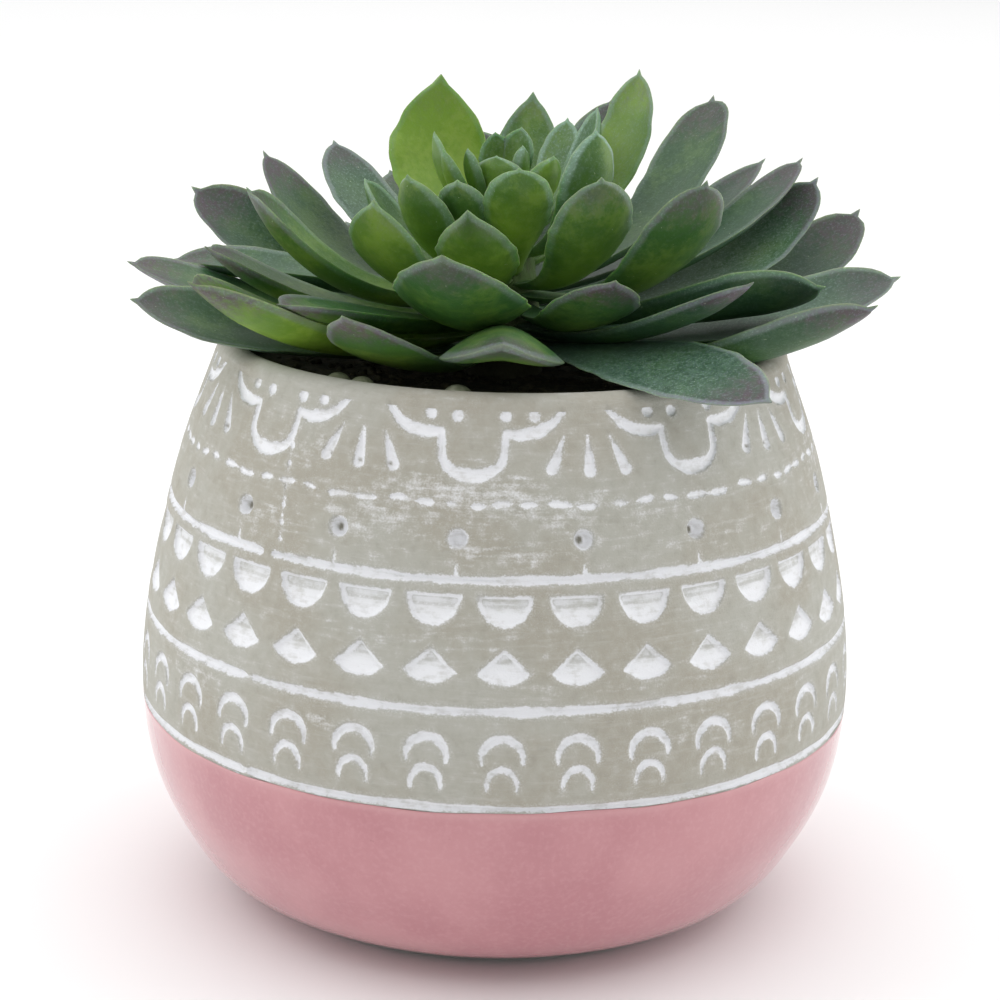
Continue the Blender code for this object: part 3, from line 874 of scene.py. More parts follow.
@dataclass(frozen=True)
class Seam:
    """The faint upright line where the pattern's ends meet."""

    turn: float = -37.9
    middle: float = 78.8
    half_height: float = 7.2
    lean: float = 0.12
    half_width: float = 0.12

    def distance(self, turn: Field, height: Field, radius: Field) -> Field:
        """Distance to its broken line.

        Args:
            turn: Degrees from the front.
            height: Heights in millimetres.
            radius: The wall's radii there.

        Returns:
            The distance to its edge, negative inside.
        """
        away = np.abs(np.radians(turn - self.turn + (height - self.middle) * self.lean)) * radius
        half = self.half_width + waves(height, (0.2, 2.3, 0), (0.12, 5.1, 0))
        return np.maximum(away - half, np.abs(height - self.middle) - self.half_height)


MOTIFS, MOTIF_TURN = 9, -4.6
BAND_COLUMNS, BAND_TURN = 33, 1.4
PIT_COLUMNS, PIT_TURN = 18, -6.3
RINGS = (35.5, 50.5, 69.5)
STUB = [(0.0, -1.3, 0.34), (0.0, 0.4, 0.14)]
DROP = [(0.0, -1.75, 0.95), (0.0, 0.3, 0.68), (0.0, 3.5, 0.08)]

# Turns from a scallop's middle and heights of its dots and drops, with the drops' leans.
DOTS = ((-7.9, 92.6), (-2.9, 92.4), (5.6, 92.5), (10.6, 92.6))
DROPS = ((20.0, 86.5, 0), (14.3, 86.8, 22), (25.7, 86.5, -22))

PRESSES = (
    Press(BAND_COLUMNS, BAND_TURN, 65.1, half_moon, 0.95, 0.5, 2.3),
    Press(BAND_COLUMNS, BAND_TURN, 57.0, wedge, 0.9, 0.5, 2.6),
    Press(BAND_COLUMNS, BAND_TURN, 43.4, bow(3.1, 3.1, 12, 0.72), 0.6),
    Press(BAND_COLUMNS, BAND_TURN, 39.0, bow(2.3, 2.8, 10, 0.55), 0.5),
    Press(PIT_COLUMNS, PIT_TURN, 75.3, disc(1.55), 1.5, bare=disc(0.66, -0.4, 0.0, 0.8)),
    Press(PIT_COLUMNS, PIT_TURN, 71.3, stroked(STUB), 0.15),
    Press(MOTIFS, MOTIF_TURN, 87.1, scallop, 0.5),
    *(Press(MOTIFS, MOTIF_TURN + turn, height, disc(0.85), 0.4) for turn, height in DOTS),
    *(
        Press(MOTIFS, MOTIF_TURN + turn, height, stroked(DROP, lean), bare=disc(0.3, 0.0, -1.5))
        for turn, height, lean in DROPS
    ),
)


@dataclass(frozen=True)
class Relief:
    """What is pressed into the pot's wall; a stamp reaches no further than reach up or down."""

    shape: PotShape
    reach: float = 9.0
    ring_half_width: float = 0.64
    ring_depth: float = 0.7
    line_depth: float = 0.25
    ring_break: float = -39.3
    break_width: float = 0.75
    break_gaps: tuple[float, ...] = (0.45, 0.45, 1.5)

    def at(self, turn: Field, height: Field) -> tuple[Field, Field, Field, Field]:
        """What is pressed at points on the wall.

        Args:
            turn: Degrees from the front.
            height: Heights in millimetres.

        Returns:
            The distance to the nearest edge (negative inside), the depth, how far up in a
            scooped stamp the point is, and where the paint missed, both from 0 to 1.
        """
        radius, slope = self.shape.radius(height)
        lean = np.cos(np.arctan(slope))
        distance = np.full(turn.shape, FAR)
        depth, hollow, bare = (np.zeros(turn.shape) for _ in range(3))
        for press in PRESSES:
            near = np.abs(height - press.height) < self.reach
            x = np.radians(wrapped(turn[near], press.columns, press.first)) * radius[near]
            y = (height[near] - press.height) / lean[near]
            found = press.outline(x, y)
            up = np.clip(0.5 + 0.5 * y / press.half_height, 0, 1)
            distance[near] = np.minimum(distance[near], found)
            depth[near] = np.maximum(depth[near], press.floor(up) * eased(0.15, -0.65, found))
            if press.scoop:
                hollow[near] = np.maximum(hollow[near], up * eased(-0.2, -0.7, found))
            if press.bare:
                spot = press.missed(turn[near]) * eased(0.2, -0.25, press.bare(x, y))
                bare[near] = np.maximum(bare[near], spot)
        for ring, gap in zip(RINGS, self.break_gaps):
            found = self.ring_distance(turn, height, ring, gap)
            distance = np.minimum(distance, found)
            depth = np.maximum(depth, self.ring_depth * eased(0.2, -0.6, found))
        for found in (DashRing().distance(turn, height), Seam().distance(turn, height, radius)):
            distance = np.minimum(distance, found)
            depth = np.maximum(depth, self.line_depth * eased(0.2, -0.5, found))
        return distance, depth, hollow, bare

    def ring_distance(self, turn: Field, height: Field, ring: float, gap: float) -> Field:
        """Distance to a ring line, which wanders a little and breaks where its ends meet.

        Args:
            turn: Degrees from the front.
            height: Heights in millimetres.
            ring: The line's height.
            gap: How much the line thins where its ends meet.

        Returns:
            The distance to its edge, negative inside.
        """
        a = np.radians(turn)
        wander = waves(a, (0.12, 3, ring), (0.08, 7, -ring))
        half = self.ring_half_width + waves(a, (0.1, 13, ring), (0.07, 31, -ring))
        broken = gap * np.exp(-(((turn - self.ring_break) / self.break_width) ** 2))
        return np.abs(height - ring - wander) - half + broken


# Patches of wall where paint was rubbed off the stamps: turn, height, half width and half
# height, and strength.
RUBBED = (
    (-6.0, 81.5, 16.0, 3.2, 0.9),
    (8.0, 79.5, 14.0, 3.0, 0.75),
    (-18.0, 77.5, 12.0, 5.0, 0.6),
    (2.0, 74.0, 18.0, 3.0, 0.55),
    (24.0, 78.0, 10.0, 4.0, 0.4),
    (-36.0, 86.0, 8.0, 4.0, 0.5),
    (-40.0, 74.0, 9.0, 4.0, 0.45),
    (38.0, 73.0, 10.0, 3.0, 0.35),
    (-14.0, 61.0, 26.0, 2.0, 0.3),
    (20.0, 53.5, 20.0, 1.8, 0.3),
    (-26.0, 46.8, 3.0, 1.6, 0.9),
    (-52.0, 48.0, 8.0, 3.0, 0.5),
    (30.0, 46.0, 8.0, 2.5, 0.4),
    (75.0, 80.0, 16.0, 5.0, 0.5),
    (118.0, 74.0, 18.0, 4.0, 0.5),
    (160.0, 84.0, 14.0, 4.0, 0.6),
    (-90.0, 78.0, 16.0, 5.0, 0.5),
    (-135.0, 74.0, 18.0, 4.0, 0.5),
    (140.0, 54.0, 22.0, 2.5, 0.35),
    (-110.0, 47.0, 18.0, 3.0, 0.4),
)


@dataclass
class Pot:
    """The stoneware pot: the stamped wall, the collar with its lip, and the foot.

    Points within skin of the outside are pressed. The collar's wall ends lip_run below the
    round of its lip. The stray of the glaze's edge fades out over follow above it.
    """

    shape: PotShape = field(default_factory=PotShape)
    sides: int = 900
    wall_rows: int = 104
    collar_rows: int = 88
    lip_rows: int = 14
    inside_rows: int = 5
    lip_run: float = 0.4
    inside_top: float = 87.5
    inside_bottom: float = 82.0
    follow: float = 1.5
    foot_rows: int = 24
    foot_sides: int = 192
    skin: float = 0.6

    def press(self, piece: bpy.types.Object) -> None:
        """Presses the stamps into a piece of wall and stores what its shader needs.

        Args:
            piece: A smooth piece of wall, with its seam closed.
        """
        points = points_of(piece)
        turn, height = np.degrees(turn_of(points)), points[:, 2].copy()
        radius, slope = self.shape.radius(height)
        away = np.hypot(points[:, 0], points[:, 1])
        below_lip = height < self.shape.lip_top - self.shape.lip_round
        outside = (np.abs(away - radius) < self.skin) & below_lip
        distance, depth, hollow, bare = Relief(self.shape).at(turn, height)
        depth = np.where(outside, depth, 0.0)
        lean = np.arctan(slope)
        points[:, :2] *= (1 - depth * np.cos(lean) / away)[:, None]
        points[:, 2] += depth * np.sin(lean)
        move_points(piece, points)
        store(piece, "rub", self.rubbed(turn, height) * outside)
        store(piece, "stamp_distance", np.where(outside, distance, UNSTAMPED))
        store(piece, "hollow", hollow * outside)
        store(piece, "bare", bare * outside)

    def rubbed(self, turn: Field, height: Field) -> Field:
        """How strongly paint was rubbed over the bare wall.

        Args:
            turn: Degrees from the front.
            height: Heights in millimetres.

        Returns:
            Strengths from 0 to 1.
        """
        total = np.zeros(turn.shape)
        for at, level, wide, high, strength in RUBBED:
            away = np.hypot(((turn - at + 180) % 360 - 180) / wide, (height - level) / high)
            total = np.maximum(total, strength * np.exp(-(away**2)))
        return total

    def build(self) -> None:
        """Builds the pot's three pieces."""
        shape = self.shape
        ledge = shape.glaze_top + shape.joint
        sides = DETAIL.of(self.sides)
        wall = shape.wall_points(np.linspace(ledge, RINGS[2], DETAIL.of(self.wall_rows)))
        stamped = turned_piece("pot_stamped_wall", wall, sides)
        self.press(stamped)
        self.follow_glaze(stamped)
        settle(stamped, Finish.CLAY, "pot")
        top = shape.lip_top - shape.lip_round
        heights = np.linspace(RINGS[2], top - self.lip_run, DETAIL.of(self.collar_rows))
        outer = shape.wall_points(heights)
        lip = shape.lip(DETAIL.of(self.lip_rows))
        depths = np.linspace(self.inside_top, self.inside_bottom, self.inside_rows)
        inside = shape.wall_points(depths, shape.wall)
        collar = turned_piece("pot_collar", np.concatenate([outer, lip, inside]), sides)
        self.press(collar)
        settle(collar, Finish.CLAY, "pot")
        self.build_foot(ledge)

    def follow_glaze(self, piece: bpy.types.Object) -> None:
        """Lets the lowest rows of the wall stray with the glaze's upper edge.

        Args:
            piece: The piece of wall above the glaze.
        """
        points = points_of(piece)
        low = eased(self.shape.glaze_top + self.follow, self.shape.glaze_top, points[:, 2])
        points[:, 2] += low * self.shape.edge_wander(turn_of(points))
        move_points(piece, points)

    def build_foot(self, ledge: float) -> None:
        """Builds the flat foot and the bare seat that the glaze lies on.

        Args:
            ledge: The height at which the foot meets the stamped wall.
        """
        shape = self.shape
        heights = np.linspace(shape.glaze_bottom, shape.glaze_top, self.foot_rows)
        seat = shape.wall_points(heights, shape.glaze_thickness + shape.clearance)
        end = [(seat[-1][0], ledge), tuple(shape.wall_points(np.array(ledge)))]
        foot = turned_piece("pot_foot", np.concatenate([shape.underside, seat, end]), self.foot_sides)
        store(foot, "stamp_distance", np.array(UNSTAMPED))
        for name in ("rub", "hollow", "bare"):
            store(foot, name, np.array(0.0))
        settle(foot, Finish.CLAY, "pot")


@dataclass
class Glaze:
    """The pink glaze on the lower wall, with a slightly wandering upper edge."""

    shape: PotShape = field(default_factory=PotShape)
    sides: int = 360
    rows: int = 56
    rounding: tuple[float, float] = (0.05, 0.3)
    edge_drop: float = 0.06
    stray: float = 3.0
    thin_band: tuple[float, float] = (1.6, 0.2)

    def build(self) -> None:
        """Builds the glaze as a closed skin."""
        shape = self.shape
        heights = np.linspace(shape.glaze_bottom, shape.glaze_top, self.rows)
        outer = shape.wall_points(heights)
        inner = shape.wall_points(heights[::-4], shape.glaze_thickness)
        inner[0] = (inner[0][0], shape.glaze_top)
        rounded = outer[-1] - np.array([(inset, 0.0) for inset in self.rounding])
        outer[-1, 1] -= self.edge_drop
        outline = np.concatenate([outer, rounded, inner, outer[:1]])
        piece = turned_piece("pink_glaze_coat", outline, DETAIL.of(self.sides))
        points = points_of(piece)
        upper = eased(shape.glaze_top - self.stray, shape.glaze_top, points[:, 2])
        points[:, 2] += upper * shape.edge_wander(turn_of(points))
        move_points(piece, points)
        low, high = (shape.glaze_top - below for below in self.thin_band)
        store(piece, "thin_edge", eased(low, high, points[:, 2]))
        settle(piece, Finish.GLAZE, "pink_glaze")


# Soil, beads and stem


@dataclass
class Soil:
    """Loose soil up to just under the lip, with crumbs on it."""

    top: float = 90.3
    rim: float = 43.5
    bowl: Section = ((0.0, -0.8), (17.0, -0.8), (27.0, -0.4), (36.0, 0.0), (43.6, 0.0))
    buried: Section = ((0.0, 80.0), (45.0, 80.0), (45.0, 86.0))
    rings: int = 56
    sides: int = 160
    skin: float = 1.5
    shore: float = 0.2
    grit: float = 0.05
    crumbs: int = 420
    crumb_sizes: tuple[float, float] = (0.45, 1.3)
    crumb_flatness: float = 0.6
    crumb_rise: float = 0.15
    seed: int = 7

    def level(self, radius: Field) -> Field:
        """The soil's mean height at a distance from the axis."""
        distances, drops = zip(*self.bowl)
        return self.top + np.interp(radius, distances, drops)

    def build(self) -> None:
        """Builds the soil with its crumbs as one piece."""
        rng = np.random.default_rng(self.seed)
        radii = np.linspace(0.0, self.rim, DETAIL.of(self.rings))
        top = np.stack([radii, self.level(radii)], axis=-1)[::-1]
        piece = turned_piece("potting_soil", np.concatenate([self.buried, top]), DETAIL.of(self.sides))
        points = points_of(piece)
        away = np.hypot(points[:, 0], points[:, 1])
        loose = (points[:, 2] > self.top - self.skin) & (away < self.rim - self.shore)
        points[loose, 2] += self.lumps(points[loose]) + rng.normal(0, self.grit, loose.sum())
        move_points(piece, points)
        crumbs = [self.crumb(rng, number) for number in range(DETAIL.of(self.crumbs))]
        settle(fused([piece, *crumbs]), Finish.SOIL, "soil")

    def lumps(self, points: Field) -> Field:
        """Small heaps and dips of the soil.

        Args:
            points: Points on the smooth soil.

        Returns:
            How much higher each lies.
        """
        x, y = points[:, 0], points[:, 1]
        wide = np.sin(x * 0.31 + 1.0) * np.cos(y * 0.27) * 0.28
        middle = np.sin(x * 0.83 + y * 0.41) * np.cos(y * 0.95 - x * 0.22) * 0.18
        return wide + middle + np.sin(x * 2.1 + 2.0) * np.sin(y * 1.9 + 0.5) * 0.08

    def crumb(self, rng: np.random.Generator, number: int) -> bpy.types.Object:
        """One crumb of soil: a rough, flattened ball that lies half sunk.

        Args:
            rng: The source of its random size, place and form.
            number: Its number, for its name.

        Returns:
            The crumb.
        """
        size = rng.uniform(*self.crumb_sizes)
        away = self.rim * np.sqrt(rng.uniform(0.03, 0.93))
        turn = rng.uniform(0, 2 * pi)
        bpy.ops.object.select_all(action="DESELECT")
        bpy.ops.mesh.primitive_ico_sphere_add(subdivisions=1, radius=1.0)
        obj = bpy.context.object
        obj.name = f"crumb_{number}"
        points = points_of(obj) * MM
        rough = rng.uniform(0.7, 1.25, points.shape) * size
        points *= rough * np.array([1.0, rng.uniform(0.6, 1.0), self.crumb_flatness])
        c, s = cos(turn * 5), sin(turn * 5)
        points[:, :2] = points[:, :2] @ np.array([[c, s], [-s, c]])
        height = float(self.level(np.array(away))) + self.crumb_rise * size
        points += np.array([away * cos(turn), away * sin(turn), height])
        move_points(obj, points)
        bpy.ops.object.shade_smooth()
        return obj


@dataclass
class Beads:
    """Small cloudy beads that lie on the soil inside the front of the lip."""

    places: tuple[tuple[float, float, float], ...] = (
        (260.5, 39.6, 2.3),
        (237.5, 39.7, 2.1),
        (231.0, 39.8, 2.1),
        (247.0, 40.2, 1.5),
    )
    level: float = 91.5
    flatness: float = 0.85
    dent: float = 0.035

    def build(self) -> None:
        """Builds each bead as its own piece."""
        for number, (azimuth, away, radius) in enumerate(self.places, start=1):
            bpy.ops.object.select_all(action="DESELECT")
            bpy.ops.mesh.primitive_uv_sphere_add(segments=40, ring_count=24, radius=1.0)
            obj = bpy.context.object
            obj.name = obj.data.name = f"bead_{number}_cloudy"
            points = points_of(obj) * MM
            dents = 1 + np.sin(points[:, 0] * 2.6 + number) * np.cos(points[:, 1] * 2.2 - number)
            points *= (1 - self.dent * dents)[:, None] * radius * np.array([1.0, 1.0, self.flatness])
            turn = radians(azimuth)
            points += np.array([away * cos(turn), away * sin(turn), self.level + radius * self.flatness])
            move_points(obj, points)
            bpy.ops.object.shade_smooth()
            settle(obj, Finish.BEAD, f"bead_{number}")


@dataclass
class Stem:
    """The short stalk, with the scars of older leaves."""

    outline: Section = ((74.0, 6.2), (92.0, 7.0), (100.0, 6.2), (108.0, 5.0), (112.5, 4.2))
    sides: int = 64
    rows: int = 70
    scar_depth: float = 0.045

    def radius(self, height: Any) -> Any:
        """The stem's radius at a height."""
        heights, radii = zip(*self.outline)
        return np.interp(height, heights, radii)

    def build(self) -> None:
        """Builds the stem."""
        bottom, top = self.outline[0][0], self.outline[-1][0]
        heights = np.linspace(bottom, top, self.rows)
        side = np.stack([self.radius(heights), heights], axis=-1)
        outline = np.concatenate([[(0.0, bottom)], side, [(0.0, top)]])
        piece = turned_piece("stem_stalk", outline, self.sides)
        points = points_of(piece)
        turn = np.arctan2(points[:, 1], points[:, 0])
        scars = np.sin(turn * 5 + points[:, 2] * 1.3) * np.sin(points[:, 2] * 1.1)
        points[:, :2] *= 1 - self.scar_depth * (1 + scars)[:, None] / 2
        move_points(piece, points)
        settle(piece, Finish.STEM, "stem")


# Leaves


@dataclass(frozen=True)
class Leaf:
    """One leaf: where it grows and ends, its form, and its shares of each colour.

    azimuth, reach and tip place its tip, root its root's height on the stem. bow is the sag of
    its midrib as a share of its length, cup the rise of its edges, roll the turn of the blade
    about its midrib and swing its sideways bend, both in degrees. fresh, frost and dusk are
    the shares of bright green, pale bloom and purple. wave is how far its margin wanders, and
    keel how deep its underside is, as a share of its thickness.
    """

    azimuth: float
    reach: float
    tip: float
    root: float
    width: float
    bow: float
    cup: float
    roll: float
    swing: float
    widest: float
    fullness: float
    fresh: float
    frost: float
    dusk: float
    wave: float = 0.0
    keel: float = 0.7


OUTER_LEAVES = (
    Leaf(2, 51.0, 99.5, 92.0, 9.5, 0.06, 0.35, -14, 4, 0.67, 0.55, 0.10, 0.40, 0.50),
    # This leaf's high fresh and frost shares also paint light onto its shaded face.
    Leaf(23, 58.5, 120.0, 99.8, 17.0, 0.15, 0.15, 21, 2, 0.65, 0.45, 0.32, 0.95, 0.80),
    Leaf(24, 68.0, 114.0, 97.5, 17.5, 0.15, 0.20, 20, 9, 0.72, 0.42, 0.10, 0.40, 0.90),
    Leaf(51, 56.0, 107.2, 97.0, 13.5, 0.04, 0.30, 3, -3, 0.67, 0.55, 0.15, 0.40, 0.70),
    Leaf(58, 58.5, 106.0, 95.0, 16.0, 0.07, 0.30, 5, 3, 0.67, 0.55, 0.15, 0.45, 0.80),
    Leaf(79, 59.5, 105.0, 93.0, 16.0, 0.06, 0.30, 0, -1, 0.67, 0.55, 0.12, 0.50, 0.80),
    Leaf(97, 59.5, 106.0, 97.0, 16.0, 0.04, 0.30, -2, -1, 0.70, 0.55, 0.15, 0.50, 0.70),
    Leaf(120, 59.5, 106.0, 95.5, 15.0, 0.07, 0.25, 1, 4, 0.67, 0.55, 0.12, 0.50, 0.80),
    Leaf(141, 60.5, 106.0, 93.0, 15.0, 0.07, 0.30, 1, 0, 0.67, 0.55, 0.15, 0.45, 0.80),
    Leaf(153, 62.0, 115.0, 97.5, 17.5, 0.11, 0.35, -24, 11, 0.67, 0.45, 0.22, 0.50, 0.95),
    Leaf(173, 53.0, 101.0, 92.0, 14.5, 0.04, 0.25, -9, 0, 0.67, 0.55, 0.15, 0.40, 0.50),
    Leaf(173, 56.5, 105.5, 100.5, 12.0, -0.01, 0.35, -12, -2, 0.72, 0.55, 0.18, 0.40, 0.80),
    Leaf(187, 61.5, 107.5, 95.5, 13.5, 0.05, 0.20, -12, 7, 0.74, 0.45, 0.28, 0.40, 0.90),
    Leaf(203, 63.0, 104.5, 93.5, 15.0, 0.05, 0.20, -34, 1, 0.72, 0.55, 0.26, 0.40, 0.70),
    Leaf(217, 59.5, 109.5, 97.0, 16.5, 0.11, 0.45, -6, 1, 0.74, 0.45, 0.72, 0.22, 0.90),
    Leaf(306, 66.5, 97.0, 94.6, 17.8, -0.035, 0.05, 24, 3, 0.57, 0.58, 0.08, 0.90, 0.90),
    Leaf(334, 64.0, 107.0, 93.5, 17.0, 0.09, 0.30, -19, 0, 0.74, 0.45, 0.16, 0.70, 0.90),
    Leaf(351, 64.5, 108.5, 96.0, 18.0, 0.07, 0.25, 25, 10, 0.73, 0.50, 0.06, 0.60, 0.60),
)

MIDDLE_LEAVES = (
    Leaf(26, 57.0, 123.0, 101.5, 10.5, 0.09, 0.20, 8, 9, 0.74, 0.45, 0.12, 0.35, 0.80),
    Leaf(43, 64.0, 120.5, 102.5, 10.5, 0.09, 0.30, -1, -3, 0.67, 0.55, 0.12, 0.35, 0.70),
    Leaf(47, 53.5, 132.0, 104.0, 15.0, 0.11, 0.25, -3, 17, 0.74, 0.42, 0.22, 0.35, 0.70),
    Leaf(62, 39.5, 131.5, 105.5, 12.0, 0.08, 0.30, 1, 0, 0.67, 0.55, 0.15, 0.35, 0.70),
    Leaf(71, 52.0, 115.5, 98.5, 15.0, 0.05, 0.30, 1, 0, 0.67, 0.55, 0.20, 0.40, 0.50),
    Leaf(90, 50.5, 117.0, 101.5, 14.0, 0.04, 0.30, 1, 1, 0.67, 0.55, 0.22, 0.40, 0.50),
    Leaf(98, 42.5, 125.0, 104.0, 15.0, 0.07, 0.30, 3, 2, 0.67, 0.55, 0.22, 0.35, 0.60),
    Leaf(115, 50.5, 116.5, 100.5, 14.0, 0.08, 0.25, 0, -1, 0.59, 0.55, 0.22, 0.40, 0.50),
    Leaf(132, 46.0, 123.0, 102.0, 13.5, 0.08, 0.15, -3, -10, 0.67, 0.55, 0.15, 0.80, 0.70),
    Leaf(146, 51.5, 121.5, 99.5, 15.0, 0.14, 0.20, 7, -1, 0.72, 0.50, 0.28, 0.40, 0.95),
    Leaf(200, 43.5, 121.0, 102.5, 15.5, 0.16, 0.35, -17, -5, 0.74, 0.42, 0.55, 0.35, 0.60),
    Leaf(201, 50.5, 112.0, 99.4, 13.0, 0.10, 0.30, -7, 5, 0.74, 0.45, 0.52, 0.32, 0.80),
    Leaf(225, 48.5, 106.0, 98.5, 13.0, 0.03, 0.30, -5, -4, 0.69, 0.45, 0.40, 0.40, 0.80),
    Leaf(242, 50.5, 106.5, 94.0, 17.5, 0.09, 0.00, 4, 1, 0.60, 0.60, 0.52, 0.35, 0.90),
    Leaf(259.5, 49.5, 116.5, 101.7, 21.5, 0.125, 0.25, -2, 3, 0.55, 0.70, 0.32, 0.24, 0.60),
    Leaf(270, 50.0, 103.8, 95.5, 17.6, -0.05, -0.50, -1, 0, 0.67, 0.60, 0.45, 0.35, 0.60, keel=2.0),
    Leaf(294, 41.0, 111.5, 101.0, 14.5, 0.11, 0.10, -13, -7, 0.67, 0.65, 0.32, 0.40, 0.90),
    Leaf(316, 52.0, 111.5, 98.0, 13.5, 0.08, 0.20, 4, 5, 0.72, 0.50, 0.12, 0.60, 0.90),
    Leaf(337, 54.5, 108.5, 99.2, 17.0, 0.04, 0.25, -39, -1, 0.70, 0.55, 0.12, 0.50, 0.20),
)

INNER_LEAVES = (
    Leaf(27, 16.5, 132.5, 113.0, 8.5, 0.12, 0.30, -6, 2, 0.67, 0.55, 0.50, 0.80, 0.00),
    Leaf(30, 25.0, 138.5, 108.0, 12.5, 0.16, 0.25, 17, 4, 0.67, 0.50, 0.80, 0.50, 0.30, 0.30),
    Leaf(55, 17.5, 130.0, 111.0, 8.5, 0.12, 0.25, 4, 4, 0.67, 0.55, 0.60, 1.00, 0.00),
    Leaf(79, 22.0, 133.5, 108.5, 10.5, 0.11, 0.25, 8, -1, 0.67, 0.85, 0.60, 0.45, 0.30),
    Leaf(117.5, 25.0, 136.0, 105.5, 18.5, 0.19, 0.10, -13, -7, 0.63, 0.75, 1.00, 0.10, 0.20, 0.35),
    Leaf(173, 23.5, 120.5, 103.5, 11.0, 0.11, 0.30, -3, 4, 0.67, 0.55, 0.50, 0.60, 0.00),
    Leaf(222, 21.0, 123.5, 107.0, 13.0, 0.16, 0.35, 0, 3, 0.67, 0.60, 0.60, 0.35, 0.10),
    Leaf(227, 30.0, 120.5, 104.5, 15.0, 0.21, 0.05, 9, 9, 0.70, 0.70, 0.70, 0.40, 0.20),
    Leaf(243, 17.0, 123.0, 111.0, 8.5, 0.11, 0.30, 19, 8, 0.67, 0.70, 0.50, 0.40, 0.10),
    Leaf(258, 28.0, 120.0, 105.5, 13.5, 0.17, 0.25, 5, -1, 0.61, 0.80, 0.65, 0.25, 0.30),
    Leaf(276, 18.5, 125.5, 107.5, 11.5, 0.07, 0.25, -5, -5, 0.67, 0.50, 0.62, 0.40, 0.00),
    Leaf(302, 27.5, 125.0, 105.0, 14.5, 0.18, 0.25, -16, -12, 0.66, 0.50, 0.53, 0.38, 0.40),
    Leaf(320, 18.0, 131.0, 110.0, 11.0, 0.19, 0.30, -23, -6, 0.63, 0.55, 0.56, 0.95, 0.00),
    Leaf(322, 39.0, 125.0, 103.0, 16.5, 0.18, 0.10, -18, -5, 0.72, 0.45, 0.45, 0.35, 0.70),
)

HEART_LEAVES = (
    Leaf(50, 3.5, 129.5, 117.0, 7.5, 0.08, 0.30, 0, 0, 0.67, 0.55, 0.62, 0.50, 0.00),
    Leaf(120, 4.0, 128.5, 116.0, 7.5, 0.10, 0.30, 0, 0, 0.67, 0.55, 0.62, 0.50, 0.00),
    Leaf(190, 12.0, 129.0, 114.0, 9.0, 0.16, 0.30, 0, 0, 0.67, 0.55, 0.72, 0.40, 0.00),
    Leaf(205, 7.0, 126.5, 115.5, 5.5, 0.12, 0.30, 0, 0, 0.67, 0.55, 0.65, 0.50, 0.00),
    Leaf(215, 12.5, 126.8, 114.5, 5.0, 0.14, 0.30, 0, 0, 0.67, 0.55, 0.70, 0.40, 0.00),
    Leaf(245, 4.0, 125.5, 116.0, 9.5, 0.12, 0.30, 0, 0, 0.67, 0.55, 0.65, 0.50, 0.00),
    Leaf(322, 9.5, 126.0, 114.0, 10.0, 0.14, 0.30, 0, 0, 0.67, 0.55, 0.70, 0.40, 0.00),
    Leaf(325, 3.0, 127.0, 117.5, 4.5, 0.08, 0.30, 0, 0, 0.67, 0.55, 0.60, 0.60, 0.00),
)


